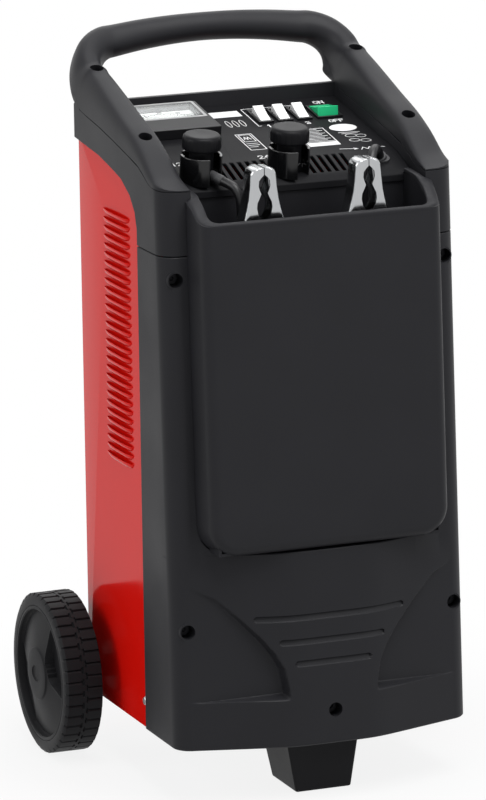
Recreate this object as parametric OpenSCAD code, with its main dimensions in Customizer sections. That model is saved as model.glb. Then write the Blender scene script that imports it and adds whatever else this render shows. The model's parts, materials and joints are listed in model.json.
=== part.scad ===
/* [Body] */
// Width over the black moulded frame
body_w = 269; // [240:1:300]
// Height of the underside of the body above the ground
body_floor_z = 50; // [44:1:58]
// Height of the top of the collar columns, where the handle arms start
collar_z = 529; // [500:1:560]
// Height of the seam between the front moulding and the collar
collar_seam_z = 475.5; // [450:0.5:485]
// Depth position of the seam between the front moulding and the steel cover
seam_y = -51.5; // [-60:0.5:-44]
// Depth position of the back of the steel cover
cover_rear_y = 98.5; // [90:0.5:105]
// Backward lean of the front moulding in degrees
lean = 2.8; // [1:0.1:4]
// Radius of the front corners of the columns
corner_r = 17; // [8:1:20]
// Wall thickness of the moulded shells
wall = 3; // [2:0.25:4]

/* [Front] */
// Depth position of the column faces where the lean starts
column_y = -134.2; // [-138:0.1:-131]
// Depth position of the prow where the lean starts
prow_y = -159; // [-162:0.5:-154]
// Width of the flat middle of the prow
prow_flat_w = 76; // [60:1:90]
// Depth position of the pocket front where the lean starts
pocket_y = -164; // [-168:0.5:-162]
// Width of each column beside the pocket
column_w = 22.5; // [19:0.25:28]
// Height of the underside of the pocket
pocket_floor_z = 218; // [205:1:235]
// Height of the front edge of the pocket
pocket_rim_z = 506; // [490:1:512]
// Wall thickness of the pocket front
pocket_wall = 4; // [3:0.5:5]
// Diameter of the recessed screw holes
screw_recess_d = 12.4; // [9:0.1:14]
// Width of the front foot at the ground
foot_w = 51; // [40:1:60]

/* [Handle] */
// Height of the middle of the grip bar
grip_z = 625.7; // [610:0.1:640]
// Depth position of the middle of the grip bar
grip_y = 132; // [120:0.5:140]
// Backward slope of the hoop in degrees from upright
hoop_tilt = 36; // [30:0.5:42]
// Thickness of the grip bar
grip_d = 25; // [22:0.5:28]
// Width of each handle arm
arm_w = 27.5; // [24:0.5:30]
// Radius of the top corners of the handle, at the middle of the bar
handle_corner_r = 35; // [25:1:40]

/* [Cover] */
// How far the cover sides lie inside the moulded frame's sides
cover_inset = 3; // [2:0.25:8]
// Thickness of the cover sheet
sheet_t = 1.2; // [0.8:0.1:2]
// Number of louvres on each side
louvre_count = 29; // [10:1:32]
// Distance from one louvre to the next
louvre_pitch = 7.65; // [6:0.05:8]
// Length of a louvre
louvre_len = 62; // [40:1:70]
// How far a louvre stands out of the side
louvre_out = 3.8; // [1:0.1:4.5]
// Height of the mouth of the lowest louvre
louvre_z = 278.4; // [200:0.1:285]

/* [Wheels] */
// Diameter of a wheel
wheel_d = 142; // [130:1:150]
// Width of a wheel
wheel_w = 35.5; // [26:0.5:38]
// Gap between the moulded frame's side and a wheel
wheel_gap = 12.5; // [8:0.5:20]
// Depth position of the axle
axle_y = 85.5; // [80:0.5:88]
// Diameter of the axle
axle_d = 12; // [8:1:16]
// Tread blocks round one wheel
tread_blocks = 42; // [24:1:48]
// Depth of the tread grooves
tread_depth = 1.6; // [1:0.1:2.5]

/* [Panel] */
// Slope of the control panel in degrees
panel_tilt = 10.2; // [6:0.2:12]
// Height of the panel at its front bend
panel_z = 537; // [533:0.5:540]
// Thickness of the panel
panel_t = 2.5; // [2:0.25:4]
// Width of the vent slots
slot_w = 3.4; // [2:0.1:4.4]
// Distance from one vent slot to the next
slot_pitch = 6.9; // [6:0.1:7.2]
// Width of the ammeter
meter_w = 70; // [60:1:72]
// Length of the ammeter along the panel
meter_len = 65; // [58:1:66]
// Angle that the ammeter needle sweeps
needle_sweep = 84; // [60:1:90]
// Width of a white rocker
rocker_w = 9.4; // [8:0.2:11]
// Width of the green main rocker
main_rocker_w = 19; // [14:0.5:21]
// Length of a rocker along the panel
rocker_len = 26; // [20:0.5:27]
// Distance from one white rocker to the next
rocker_pitch = 18; // [17:0.5:19]
// Tilt of a rocker either side of level
rocker_tilt = 17; // [8:0.5:18]

/* [Terminals] */
// Distance of the first terminal from the panel's side
terminal_in = 27; // [24:0.5:32]
// Diameter of the terminal guard cups
guard_d = 36; // [33:0.5:38]
// Height of the terminal guard cups
guard_h = 21; // [19:0.5:23]
// Diameter of the knob caps
knob_d = 34.5; // [30:0.5:36]
// Height of the knob caps
knob_h = 15; // [10:0.5:18]
// Diameter of the terminal studs
stud_d = 8; // [6:0.5:10]

/* [Cables and clamps] */
// Diameter of the charging cables
cable_d = 8; // [7:0.5:9]
// Straight length of a hank's runs
hank_run = 128; // [110:2:140]
// Bend radius at the folds of a hank
hank_r = 24; // [20:1:26]
// Distance between neighbouring cable turns in a hank
hank_step = 8.6; // [8.5:0.1:9.5]
// Length of a clamp
clamp_len = 137; // [130:1:142]
// Depth of a clamp, front to back
clamp_depth = 20; // [16:0.5:22]
// Thickness of the clamp steel
clamp_t = 1.5; // [1:0.1:2]

/* [Transformer] */
// Width of the laminated core
core_w = 150; // [130:1:170]
// Height of the laminated core
core_h = 125; // [110:1:140]
// Thickness of the laminated stack
core_stack = 80; // [60:1:90]
// Width of the core's middle leg
core_leg = 50; // [40:1:56]

/* [Hidden] */
$fn = 48;
eps = 0.01;
fit = 0.3;
run = 0.05;
half_w = body_w / 2;
arm_in_x = half_w - arm_w;
arm_x = half_w - arm_w / 2;
cover_half_w = half_w - cover_inset;
wheel_in_x = half_w + wheel_gap;
terminal_x = arm_in_x - terminal_in;
far = 400;
black = [0.09, 0.09, 0.10];
dark = [0.14, 0.14, 0.15];
red = [0.72, 0.07, 0.06];
steel = [0.72, 0.73, 0.74];
copper = [0.72, 0.42, 0.25];

// ---- plain helpers ----
function arc(cx, cy, r, a0, a1, n = 8) = [
    for (i = [0:n]) [cx + r * cos(a0 + (a1 - a0) * i / n), cy + r * sin(a0 + (a1 - a0) * i / n)]
];
function both_sides(half) = concat(
    half,
    [for (i = [len(half) - 1:-1:0]) if (half[i][0] > 0) [-half[i][0], half[i][1]]]
);
function shifted(pts, d) = [for (p = pts) p + d];
function reversed(pts) = [for (i = [len(pts) - 1:-1:0]) pts[i]];
function unit(v) = v / norm(v);

// A block with the outline pts in Y and Z, from x0 to x1
module side_block(pts, x0, x1) {
    translate([x0, 0, 0])
        rotate([90, 0, 90])
            linear_extrude(x1 - x0)
                polygon(pts);
}

// A block with the outline pts in X and Z, from y0 to y1
module front_block(pts, y0, y1) {
    translate([0, y1, 0])
        rotate([90, 0, 0])
            linear_extrude(y1 - y0)
                polygon(pts);
}

// A block with the plan pts, standing in the frame that leans back
module leaning_block(pts, h0, h1) {
    rotate([-lean, 0, 0])
        translate([0, 0, h0])
            linear_extrude(h1 - h0)
                polygon(pts);
}

module box(lo, hi) {
    translate(lo)
        cube(hi - lo);
}

module pair() {
    children();
    mirror([1, 0, 0])
        children();
}

// Depth of a leaning surface at height z
function leaning_y(y0, z) = (y0 + z * sin(lean)) / cos(lean);

// ---- outlines of the frame ----
function column_plan(inset) = both_sides(concat(
    [[0, column_y + inset]],
    arc(half_w - corner_r, column_y + corner_r, corner_r - inset, -90, 0),
    [[half_w - inset, 200]]
));
function prow_plan(inset) = both_sides(concat(
    [[0, prow_y + inset], [prow_flat_w / 2 - inset * 0.3, prow_y + inset]],
    arc(half_w - corner_r, column_y + corner_r, corner_r - inset, -80, 0),
    [[half_w - inset, 200]]
));
pocket_back_x = half_w - column_w;
pocket_front_x = pocket_back_x - 2.7;
pocket_corner_r = 9.5;
column_in_x = pocket_back_x - pocket_wall;
function pocket_plan(inset, back_y = column_y + 1) = both_sides(concat(
    [[0, pocket_y + inset]],
    arc(pocket_front_x - pocket_corner_r, pocket_y + pocket_corner_r, pocket_corner_r - inset, -90, -10, 5),
    [[pocket_back_x - inset, column_y + 1], [pocket_back_x - inset, back_y]]
));

// The collar's seam to the handle arms, from the front to the rear, as [y, z]
collar_front_y = leaning_y(column_y, collar_z);
arm_seam = [
    [collar_front_y, collar_z], [-96, collar_z + 1.3], [-81.5, collar_z + 3.5], [-58, collar_z + 14.3],
    [-30, collar_z + 20.6], [5, collar_z + 27.5], [37.5, collar_z + 33.3], [64, collar_z + 37], [84, collar_z + 40.5]
];
// The arm's top line over the same stations
arm_top = [
    [collar_front_y, collar_z + 1.5], [-97, collar_z + 6], [-83, collar_z + 12.5], [-61, collar_z + 26.5],
    [-34, collar_z + 39.5], [-1, collar_z + 50.5], [30, collar_z + 61.5], [54, collar_z + 70], [70, collar_z + 75.5]
];
rear_knee = [92, collar_z + 47.6];
// The edge where the collar ends and the steel cover starts, from the rear to the front
cover_edge = [
    [cover_rear_y, collar_z + 14.8], [39, collar_z + 8.7], [14.6, collar_z + 4.1], [-14.3, collar_z - 2.2],
    [-35.4, collar_z - 13.1], [-47, collar_z - 26], [seam_y, collar_z - 40]
];

// ---- moulded frame ----
shelf_z = pocket_floor_z + pocket_wall;
shelf_front_y = leaning_y(column_y, pocket_floor_z) + 1;
tub_back_y = -75;
groove_z = [162, 141, 122];
groove_w = [137, 96, 69];
groove_h = 2.2;
groove_cut = 1.6;
front_hole = [122.5, 153.5];
upper_hole = [122.5, 455];
middle_hole_z = 79;
recess_deep = 14;
scoop_outline = [
    [40, 98], [43, 112], [50, 130], [63, 145], [82, 160], [104, 178], [116, 184], [119, 150], [120, 92]
];
scoop_deep = 9;
scoop_low_z = 92;
scoop_high_z = 184;

// Wedge in front of the scooped flank; grow adds the wall that stays behind it
module scoop_wedge(grow) {
    leaning_block([
        [prow_flat_w / 2 - 4 - grow, prow_y - 20], [prow_flat_w / 2 - 4 - grow, prow_y + scoop_deep + grow],
        [half_w - corner_r + 1, column_y + 0.6 + grow], [half_w, column_y + grow], [half_w, prow_y - 20]
    ], 0, far);
}

// Material cut away on each flank of the prow
module scoop() {
    intersection() {
        front_block(scoop_outline, -far, 0);
        scoop_wedge(0);
    }
}

module screw_recess(x, z, y0) {
    translate([x, leaning_y(y0, z) - 2, z])
        rotate([-90, 0, 0])
            cylinder(h = recess_deep + 2, d = screw_recess_d);
}

module prow_hull() {
    intersection() {
        leaning_block(prow_plan(0), 0, far);
        box([-half_w - 1, -far, body_floor_z], [half_w + 1, seam_y - fit, pocket_floor_z - fit]);
    }
}

module prow_hollow() {
    difference() {
        intersection() {
            leaning_block(prow_plan(wall), -50, far);
            box([-half_w, -far, body_floor_z - 1], [half_w, seam_y + 1, pocket_floor_z - fit - wall]);
        }
        pair()
            intersection() {
                box([0, -far, scoop_low_z - wall], [far, 0, scoop_high_z + wall]);
                scoop_wedge(wall);
            }
    }
}

module column_hull() {
    intersection() {
        leaning_block(column_plan(0), 0, far + 200);
        union() {
            box([column_in_x, -far, shelf_z - 5], [half_w + 1, seam_y - fit, collar_seam_z - fit / 2]);
            box([-half_w - 1, -far, shelf_z - 5], [-column_in_x, seam_y - fit, collar_seam_z - fit / 2]);
        }
    }
}

module column_hollow() {
    intersection() {
        leaning_block(column_plan(wall), 0, far + 200);
        union() {
            box([column_in_x + wall, -far, shelf_z - 10], [half_w, seam_y + 1, collar_seam_z + 1]);
            box([-half_w, -far, shelf_z - 10], [-column_in_x - wall, seam_y + 1, collar_seam_z + 1]);
        }
    }
}

module screw_bosses() {
    boss_d = screw_recess_d + 4;
    boss_h = recess_deep + 2;
    boss_root = wall / 2;
    for (s = [-1, 1])
        for (h = [[front_hole[1], column_y], [upper_hole[1], column_y]])
            translate([s * (front_hole[0] - 1), leaning_y(h[1], h[0]) + wall / 2, h[0]])
                rotate([-90, 0, 0])
                    intersection() {
                        cylinder(h = boss_h, d = boss_d);
                        box([-far, -far, boss_root], [far, far, far]);
                    }
    translate([0, leaning_y(prow_y, middle_hole_z) + wall / 2, middle_hole_z])
        rotate([-90, 0, 0])
            cylinder(h = boss_h, d = boss_d);
}

skirt_out_x = cover_half_w - sheet_t - fit;
skirt_in_x = skirt_out_x - 2.5;

module front_shell() {
    color(black)
        difference() {
            union() {
                difference() {
                    union() {
                        prow_hull();
                        column_hull();
                    }
                    prow_hollow();
                    column_hollow();
                }
                screw_bosses();
                // Flanges that the steel cover's front edges lie on
                pair()
                    box([skirt_in_x, seam_y - 6, body_floor_z + 5], [skirt_out_x, seam_y + 9, collar_seam_z - 8]);
                pair()
                    box([skirt_in_x, seam_y - 6, body_floor_z + 5], [half_w - 1, seam_y - 3, collar_seam_z - 8]);
            }
            pair()
                scoop();
            for (i = [0:2])
                translate([-groove_w[i] / 2, -far, groove_z[i] - groove_h / 2])
                    cube([groove_w[i], far + leaning_y(prow_y, groove_z[i]) + groove_cut, groove_h]);
            for (s = [-1, 1]) {
                screw_recess(s * front_hole[0], front_hole[1], column_y);
                screw_recess(s * upper_hole[0], upper_hole[1], column_y);
            }
            screw_recess(0, middle_hole_z, prow_y);
        }
}

// Outline of the collar seen from the side
collar_outline = concat(
    [[-far, collar_seam_z], [-far, collar_z]],
    arm_seam,
    [rear_knee, [cover_rear_y, collar_z + 44], cover_edge[0]],
    [for (i = [1:len(cover_edge) - 1]) cover_edge[i]],
    [[seam_y, collar_seam_z]]
);
collar_hollow = concat(
    [[collar_front_y + 3, collar_seam_z - 30], [collar_front_y + 3, collar_z - wall]],
    [for (i = [1:len(arm_seam) - 1]) arm_seam[i] + [0.5, -wall]],
    [[cover_rear_y - wall, collar_z + 38], [cover_rear_y - wall, collar_seam_z - 30]]
);
cover_skirt = concat(
    [for (p = cover_edge) p + [-2.5, 6]],
    reversed([for (p = cover_edge) p + [9, -10]])
);
rim_z = collar_z + 45;
rim_front_y = cover_rear_y - 6;

module cheek() {
    difference() {
        side_block(collar_outline, arm_in_x, half_w);
        intersection() {
            side_block(collar_hollow, arm_in_x + wall, half_w - wall);
            leaning_block(column_plan(wall), 0, 900);
        }
    }
    intersection() {
        side_block(cover_skirt, skirt_in_x, skirt_out_x);
        box([0, -far, 0], [half_w, cover_rear_y - wall + 0.5, far * 2]);
    }
    // Bridge from the skirt to the outer wall
    side_block(concat(
        [for (p = cover_edge) p + [-2.5, 6]],
        reversed([for (p = cover_edge) p + [-0.5, 2.5]])
    ), skirt_in_x, half_w - 1);
}

// Height of the panel's main face at depth y
function panel_face(y) = panel_z + (y - panel_bend_y) * tan(panel_tilt);
panel_bend_y = -45;
panel_front_y = -71;
strip_drop = 9.2;
panel_rear_y = rim_front_y - fit;
panel_half_w = arm_in_x - fit;

module console() {
    color(black)
        intersection() {
            leaning_block(column_plan(0), 0, 900);
            union() {
                difference() {
                    pair()
                        cheek();
                    // Recesses of the arm screws run on into the collar
                    pair()
                        arm_screw_bores();
                }
                // Rear rim
                box([-arm_in_x - 1, rim_front_y, cover_edge[0][1] + fit], [arm_in_x + 1, cover_rear_y, rim_z]);
                // Ledges that the panel rests on
                pair()
                    side_block([
                        [panel_bend_y, panel_z - panel_t - fit], [panel_rear_y, panel_face(panel_rear_y) - panel_t - fit],
                        [panel_rear_y, panel_face(panel_rear_y) - panel_t - 6], [panel_bend_y, panel_z - panel_t - 6]
                    ], arm_in_x - 5, arm_in_x + 1);
            }
        }
}

// Top line of the pocket front seen from the side
rim_lip_y = leaning_y(pocket_y, pocket_rim_z);
rim_line = [
    [rim_lip_y + 2.5, pocket_rim_z], [-131, pocket_rim_z + 4], [-122, pocket_rim_z + 12],
    [-112, collar_z - 7], [-100, collar_z - 3], [-80, collar_z - 3]
];
rim_t = 5;
pocket_top_line = concat(
    [[-far, pocket_rim_z - 6], [rim_lip_y + 0.5, pocket_rim_z - 6]],
    rim_line,
    [[-80, 900], [-far, 900]]
);
pocket_outline_r = 28;
function pocket_face(inset) = both_sides(concat(
    [[0, pocket_floor_z + inset]],
    arc(pocket_back_x - pocket_outline_r, pocket_floor_z + pocket_outline_r,
        pocket_outline_r - inset, -90, 0),
    [[pocket_back_x - inset, collar_z + 20 + inset]]
));

module pocket_front() {
    color(black)
        difference() {
            intersection() {
                leaning_block(pocket_plan(0), 0, 700);
                front_block(pocket_face(0), -far, 0);
            }
            difference() {
                intersection() {
                    leaning_block(pocket_plan(pocket_wall), -50, 700);
                    front_block(pocket_face(pocket_wall), -far, 0);
                }
                // The side rims stay, over the edge of the tub
                pair()
                    side_block(concat(
                        [[-far, pocket_rim_z - rim_t]],
                        shifted(rim_line, [0, -rim_t]),
                        [[-80, 900], [-far, 900]]
                    ), tub_in_x, far);
            }
            side_block(pocket_top_line, -far, far);
            // The open back
            rotate([-lean, 0, 0])
                box([-far, column_y - fit, 0], [far, 0, 900]);
        }
}

tub_t = 2.5;
tub_floor_z = shelf_z + fit;
tub_front_low = leaning_y(pocket_y + pocket_wall + fit + 0.4, tub_floor_z);
tub_front_high = leaning_y(pocket_y + pocket_wall + fit + 0.4, pocket_rim_z - 8);
tub_in_x = arm_in_x - 7.5;
lip_low_z = panel_z - strip_drop - 11.5;
// The side panels stop below the lip of the control panel
tub_side = concat(
    [[tub_back_y, tub_floor_z], [tub_front_low, tub_floor_z], [tub_front_high, pocket_rim_z - 8]],
    [for (i = [1:len(rim_line) - 1]) rim_line[i] + [0, -rim_t - fit]],
    [[rim_line[len(rim_line) - 1][0], lip_low_z - fit], [tub_back_y, lip_low_z - fit]]
);
rim_join_y = leaning_y(column_y, collar_z - 8) + 0.5;
ledge_back_y = -80;

module pocket_tub() {
    color(dark)
        intersection() {
            leaning_block(pocket_plan(pocket_wall + fit, far), -50, 700);
            front_block(pocket_face(pocket_wall + fit), -far, 0);
            union() {
                pair()
                    side_block(tub_side, tub_in_x, tub_in_x + tub_t);
                box([-tub_in_x - 0.5, tub_back_y - tub_t, tub_floor_z], [tub_in_x + 0.5, tub_back_y, collar_z - 10]);
                box([-tub_in_x - 0.5, tub_front_low, tub_floor_z], [tub_in_x + 0.5, tub_back_y, tub_floor_z + tub_t]);
                // Side ledges that close the gap to the collar
                pair()
                    side_block([
                        [rim_join_y, collar_z - 12], [rim_join_y, collar_z - 4.2], [-100, collar_z - 3],
                        [ledge_back_y, collar_z - 3], [ledge_back_y, collar_z - 12]
                    ], tub_in_x, arm_in_x - fit);
            }
        }
}

foot_front_y = -126;
foot_rear_y = -70;
foot_flare = 8;
foot_base_h = 2;

module foot() {
    color(black)
        hull() {
            box([-foot_w / 2, foot_front_y, 0], [foot_w / 2, foot_rear_y, foot_base_h]);
            box(
                [-foot_w / 2 - foot_flare, foot_front_y, body_floor_z - foot_base_h - fit],
                [foot_w / 2 + foot_flare, foot_rear_y + foot_flare, body_floor_z - fit]
            );
        }
}

// ---- handle ----
corner_n = 6;
hoop_rise = 43.2;
grip_arch = 7.3;
hoop_reach = hoop_rise + grip_arch;
hoop_up = [0, sin(hoop_tilt), cos(hoop_tilt)];
hoop_back = [0, cos(hoop_tilt), -sin(hoop_tilt)];
hoop_foot = [0, grip_y, grip_z] - hoop_up * hoop_reach;
loop_x = arm_x - handle_corner_r;
// Each station: [centre on the split plane, side vector, offset to the top, offset to the back, squareness, inner flare]
arm_stations = [
    for (i = [0:len(arm_seam) - 1]) [
        [arm_x, arm_seam[i][0], arm_seam[i][1] + fit / 2], [arm_w / 2 - 0.05, 0, 0],
        [0, arm_top[i][0] - arm_seam[i][0], arm_top[i][1] - arm_seam[i][1]], [0, 0, 0], 3.2, 0
    ]
];
knee_top = [0, -17, 31];
knee_back = [0, 11.5, -6];
knee_stations = [
    [[arm_x, rear_knee[0], rear_knee[1] + fit / 2], [arm_w / 2 - 0.05, 0, 0], knee_top, knee_back, 2.8, 0]
];
corner_half_w = [13.7, 13.4, 13.3, 13.7, 13.9, 14.1, 14.2];
corner_flare = [10, 7, 2.5, 0, 0, 0, 0];
corner_stations = [
    for (i = [0:corner_n])
        let (
            a = 90 * i / corner_n, side = [cos(a), 0, 0] + hoop_up * sin(a), m = pow(1 - i / corner_n, 1.5),
            b = grip_d / 2 + 0.8 * (1 - i / corner_n)
        )
            [
                [loop_x + handle_corner_r * cos(a), 0, 0] + hoop_foot + hoop_up * hoop_rise * sin(a),
                side * corner_half_w[i], m * [0, -16, 24] - (1 - m) * b * hoop_back,
                m * [0, 9.5, -6] + (1 - m) * b * hoop_back, 2.8 - 0.65 * i / corner_n, corner_flare[i]
            ]
];
bar_x = [0.7, 0.35];
bar_half_w = [13.4, 12.6];
bar_stations = [
    for (i = [0:1])
        [
            [loop_x * bar_x[i], 0, 0] + hoop_foot + hoop_up * (hoop_rise + grip_arch * (1 - pow(bar_x[i], 2))),
            hoop_up * bar_half_w[i], hoop_back * -grip_d / 2, hoop_back * grip_d / 2, 2.1, 0
        ]
];
middle_station = [
    hoop_foot + hoop_up * hoop_reach, hoop_up * 12.2, hoop_back * -grip_d / 2, hoop_back * grip_d / 2, 2.1, 0
];
function flipped(st) = [
    [-st[0][0], st[0][1], st[0][2]], [st[1][0], -st[1][1], -st[1][2]], st[2], st[3], st[4], st[5]
];
section_n = 10;

function power(v, e) = sign(v) * pow(abs(v), e);
// One ring of the half section on the given side of the split plane; the back half flares inward by st[5]
function half_ring(st, k, s) = [
    for (j = [0:section_n])
        let (
            a = 180 * j / section_n, c = power(cos(a), 2 / st[4]), d = power(sin(a), 2 / st[4]),
            flare = k == 3 && c < 0 ? st[5] * d : 0
        )
            st[0] + s * (st[1] + unit(st[1]) * flare) * c + st[k] * d
];

// Triangles of a closed strip of rings, each with m points
function strip_faces(n, m) = concat(
    [for (i = [0:n - 2]) for (j = [0:m - 1]) [i * m + j, i * m + (j + 1) % m, (i + 1) * m + (j + 1) % m]],
    [for (i = [0:n - 2]) for (j = [0:m - 1]) [i * m + j, (i + 1) * m + (j + 1) % m, (i + 1) * m + j]],
    [[for (j = [m - 1:-1:0]) j]],
    [[for (j = [0:m - 1]) (n - 1) * m + j]]
);

module strip(rings) {
    polyhedron(
        points = [for (r = rings) each r],
        faces = [for (f = strip_faces(len(rings), len(rings[0]))) reversed(f)],
        convexity = 6
    );
}

module handle_half(stations, k, outward) {
    right = [for (st = stations) half_ring(st, k, outward)];
    left = [for (st = reversed(stations)) half_ring(flipped(st), k, -outward)];
    middle = [half_ring(middle_station, k, outward)];
    rings = concat(right, middle, left);
    strip(k == 2 ? [for (r = rings) reversed(r)] : rings);
}

arm_screw_at = [[-40, collar_z + 36.7], [76, collar_z + 77.6]];
arm_screw_tilt = [22, 19];
arm_recess_deep = 12;

module arm_screw_bores() {
    for (i = [0:1])
        translate([arm_x, arm_screw_at[i][0], arm_screw_at[i][1]])
            rotate([arm_screw_tilt[i], 0, 0])
                translate([0, 0, -arm_recess_deep])
                    cylinder(h = arm_recess_deep + 10, d = screw_recess_d + 1);
}

module handle_top() {
    color(black)
        difference() {
            intersection() {
                handle_half(concat(arm_stations, knee_stations, corner_stations, bar_stations), 2, 1);
                leaning_block(column_plan(0), 0, 900);
            }
            pair()
                arm_screw_bores();
        }
}

module handle_back() {
    color(black)
        handle_half(concat(knee_stations, corner_stations, bar_stations), 3, 1);
}

screw_key_d = 3.4;

module arm_screw() {
    head_h = 2.5;
    for (i = [0:1])
        translate([arm_x, arm_screw_at[i][0], arm_screw_at[i][1]])
            rotate([arm_screw_tilt[i], 0, 0])
                translate([0, 0, -arm_recess_deep])
                    difference() {
                        cylinder(h = head_h, d = screw_recess_d - 2);
                        translate([0, 0, head_h - 1])
                            cylinder(h = 2, d = screw_key_d, $fn = 6);
                    }
}

module handle_screws() {
    color(steel)
        pair()
            arm_screw();
}

module front_screw(x, z, y0) {
    translate([x, leaning_y(y0, z) + recess_deep, z])
        rotate([90, 0, 0])
            difference() {
                cylinder(h = 3, d = screw_recess_d - 2);
                translate([0, 0, 1.8])
                    cylinder(h = 2, d = screw_key_d, $fn = 6);
            }
}

module front_screws() {
    color(steel) {
        for (s = [-1, 1]) {
            front_screw(s * front_hole[0], front_hole[1], column_y);
            front_screw(s * upper_hole[0], upper_hole[1], column_y);
        }
        front_screw(0, middle_hole_z, prow_y);
    }
}

// ---- steel cover, tray and running gear ----
cover_outline = concat(
    [[seam_y, body_floor_z], [cover_rear_y, body_floor_z]],
    [for (p = cover_edge) p + [0, -fit]]
);
louvre_rear_y = 36;
louvre_drop = 5.7;
louvre_mouth_h = 1.4;
louvre_end_t = 1.5;
axle_z = wheel_d / 2;
gland_at = [70, 110];
gland_d = 16;
cover_screw_at = [[seam_y + 5, 74]];

module cover() {
    color(red)
        difference() {
            union() {
                difference() {
                    side_block(cover_outline, -cover_half_w, cover_half_w);
                    box(
                        [-cover_half_w + sheet_t, -far, 0],
                        [cover_half_w - sheet_t, cover_rear_y - sheet_t, far * 2]
                    );
                }
                for (i = [0:louvre_count - 1])
                    for (s = [-1, 1])
                        louvre_hood(s, louvre_z + i * louvre_pitch);
            }
            for (i = [0:louvre_count - 1])
                for (s = [-1, 1])
                    louvre_mouth(s, louvre_z + i * louvre_pitch);
            translate([-far, axle_y, axle_z])
                rotate([0, 90, 0])
                    cylinder(h = 2 * far, d = axle_d + 2);
            translate([gland_at[0], cover_rear_y - 10, gland_at[1]])
                rotate([-90, 0, 0])
                    cylinder(h = 20, d = gland_d + 0.2);
            for (p = cover_screw_at)
                translate([-far, p[0], p[1]])
                    rotate([0, 90, 0])
                        cylinder(h = 2 * far, d = 4.2);
        }
}

// A pressed hood under one louvre's mouth: a wedge on the outside of the sheet
module louvre_hood(s, z) {
    wedge = [[0, -fit], [0, louvre_out], [-louvre_drop, -fit]];
    translate([s * cover_half_w, louvre_rear_y - louvre_len, z])
        mirror([s < 0 ? 1 : 0, 0, 0])
            translate([0, louvre_len, 0])
                rotate([90, 0, 0])
                    linear_extrude(louvre_len)
                        polygon([for (p = wedge) [p[1], p[0]]]);
}

module louvre_mouth(s, z) {
    x0 = cover_half_w - sheet_t - 1;
    x1 = cover_half_w + louvre_out * 0.6;
    y0 = louvre_rear_y - louvre_len + louvre_end_t;
    mirror([s < 0 ? 1 : 0, 0, 0])
        box([x0, y0, z - louvre_mouth_h], [x1, louvre_rear_y - louvre_end_t, z + 0.2]);
}

tray_t = 2;
flange_t = 1.5;
flange_x = skirt_out_x - 0.1;
tray_front_y = -140;
tray_front_x = 60;
tray_side_y = -100;
tray_plan = both_sides([
    [0, tray_front_y], [tray_front_x, tray_front_y], [flange_x - 1, tray_side_y], [flange_x - 1, seam_y + 10],
    [flange_x, seam_y + 10],
    [flange_x, cover_rear_y - sheet_t - fit]
]);

module base_tray() {
    color(steel)
        difference() {
            union() {
                translate([0, 0, body_floor_z])
                    linear_extrude(tray_t)
                        polygon(tray_plan);
                pair()
                    box(
                        [flange_x - flange_t, seam_y + 10, body_floor_z],
                        [flange_x, cover_rear_y - sheet_t - fit, body_floor_z + 42]
                    );
                box(
                    [-flange_x, cover_rear_y - sheet_t - fit - flange_t, body_floor_z],
                    [flange_x, cover_rear_y - sheet_t - fit, body_floor_z + 20]
                );
            }
            translate([-far, axle_y, axle_z])
                rotate([0, 90, 0])
                    cylinder(h = 2 * far, d = axle_d + 2 * run);
        }
}

wheel_out_x = wheel_in_x + wheel_w;
axle_half_len = wheel_out_x - 4;

module axle() {
    color(steel)
        translate([-axle_half_len, axle_y, axle_z])
            rotate([0, 90, 0])
                cylinder(h = 2 * axle_half_len, d = axle_d);
}

sleeve_d = 20;

module axle_sleeves() {
    color(black)
        pair()
            translate([cover_half_w + fit, axle_y, axle_z])
                rotate([0, 90, 0])
                    difference() {
                        cylinder(h = wheel_in_x - cover_half_w - 2 * fit, d = sleeve_d);
                        translate([0, 0, -1])
                            cylinder(h = far, d = axle_d + 2 * run);
                    }
}

tread_r = wheel_d / 2;
rim_r = 55;
hub_r = 23.5;
hub_out = 3;
dish_deep = 5;
pocket_deep = 8;
web_t = 12;

function tread_outline(shift) = [
    for (i = [0:tread_blocks - 1])
        for (q = [[0, 0], [0.82, 0], [0.88, 1], [0.96, 1]])
            let (a = 360 * (i + q[0] + shift) / tread_blocks, r = tread_r - q[1] * tread_depth)
                [r * cos(a), r * sin(a)]
];

// One wheel on its own axis, its inner face at z = 0 and its outer face at z = wheel_w
module wheel_body() {
    row_h = wheel_w / 2 - 3;
    bore_d = axle_d + 2 * run;
    difference() {
        union() {
            difference() {
                union() {
                    cylinder(h = wheel_w, r = tread_r - tread_depth - 0.8, $fn = 96);
                    translate([0, 0, 2.5])
                        linear_extrude(row_h)
                            polygon(tread_outline(0));
                    translate([0, 0, wheel_w / 2 + 0.5])
                        linear_extrude(row_h)
                            polygon(tread_outline(0.5));
                }
                translate([0, 0, wheel_w - dish_deep])
                    cylinder(h = far, r = rim_r, $fn = 96);
                translate([0, 0, -1])
                    cylinder(h = wheel_w - dish_deep - web_t + 1, r = rim_r, $fn = 96);
            }
            cylinder(h = wheel_w + hub_out, r = hub_r);
            for (a = [45:90:315])
                rotate([0, 0, a])
                    translate([hub_r - 2, -2.5, 1])
                        cube([rim_r - hub_r + 4, 5, wheel_w - dish_deep - web_t]);
        }
        // Deep pockets beside the S-shaped web
        for (a = [113, 293])
            rotate([0, 0, a])
                dish_pocket();
        translate([0, 0, -1])
            cylinder(h = far, d = bore_d);
        translate([0, 0, wheel_w - 6])
            cylinder(h = far, r = 11);
    }
}

// Pocket outline as [radius, angle], from the rim in to the hub's edge and out again
pocket_edge = [[53, 31.5], [43, 29], [33, 26], [25.5, 12], [25, 0], [26, -9], [29.5, -20], [36, -26], [43, -28.6]];

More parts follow.
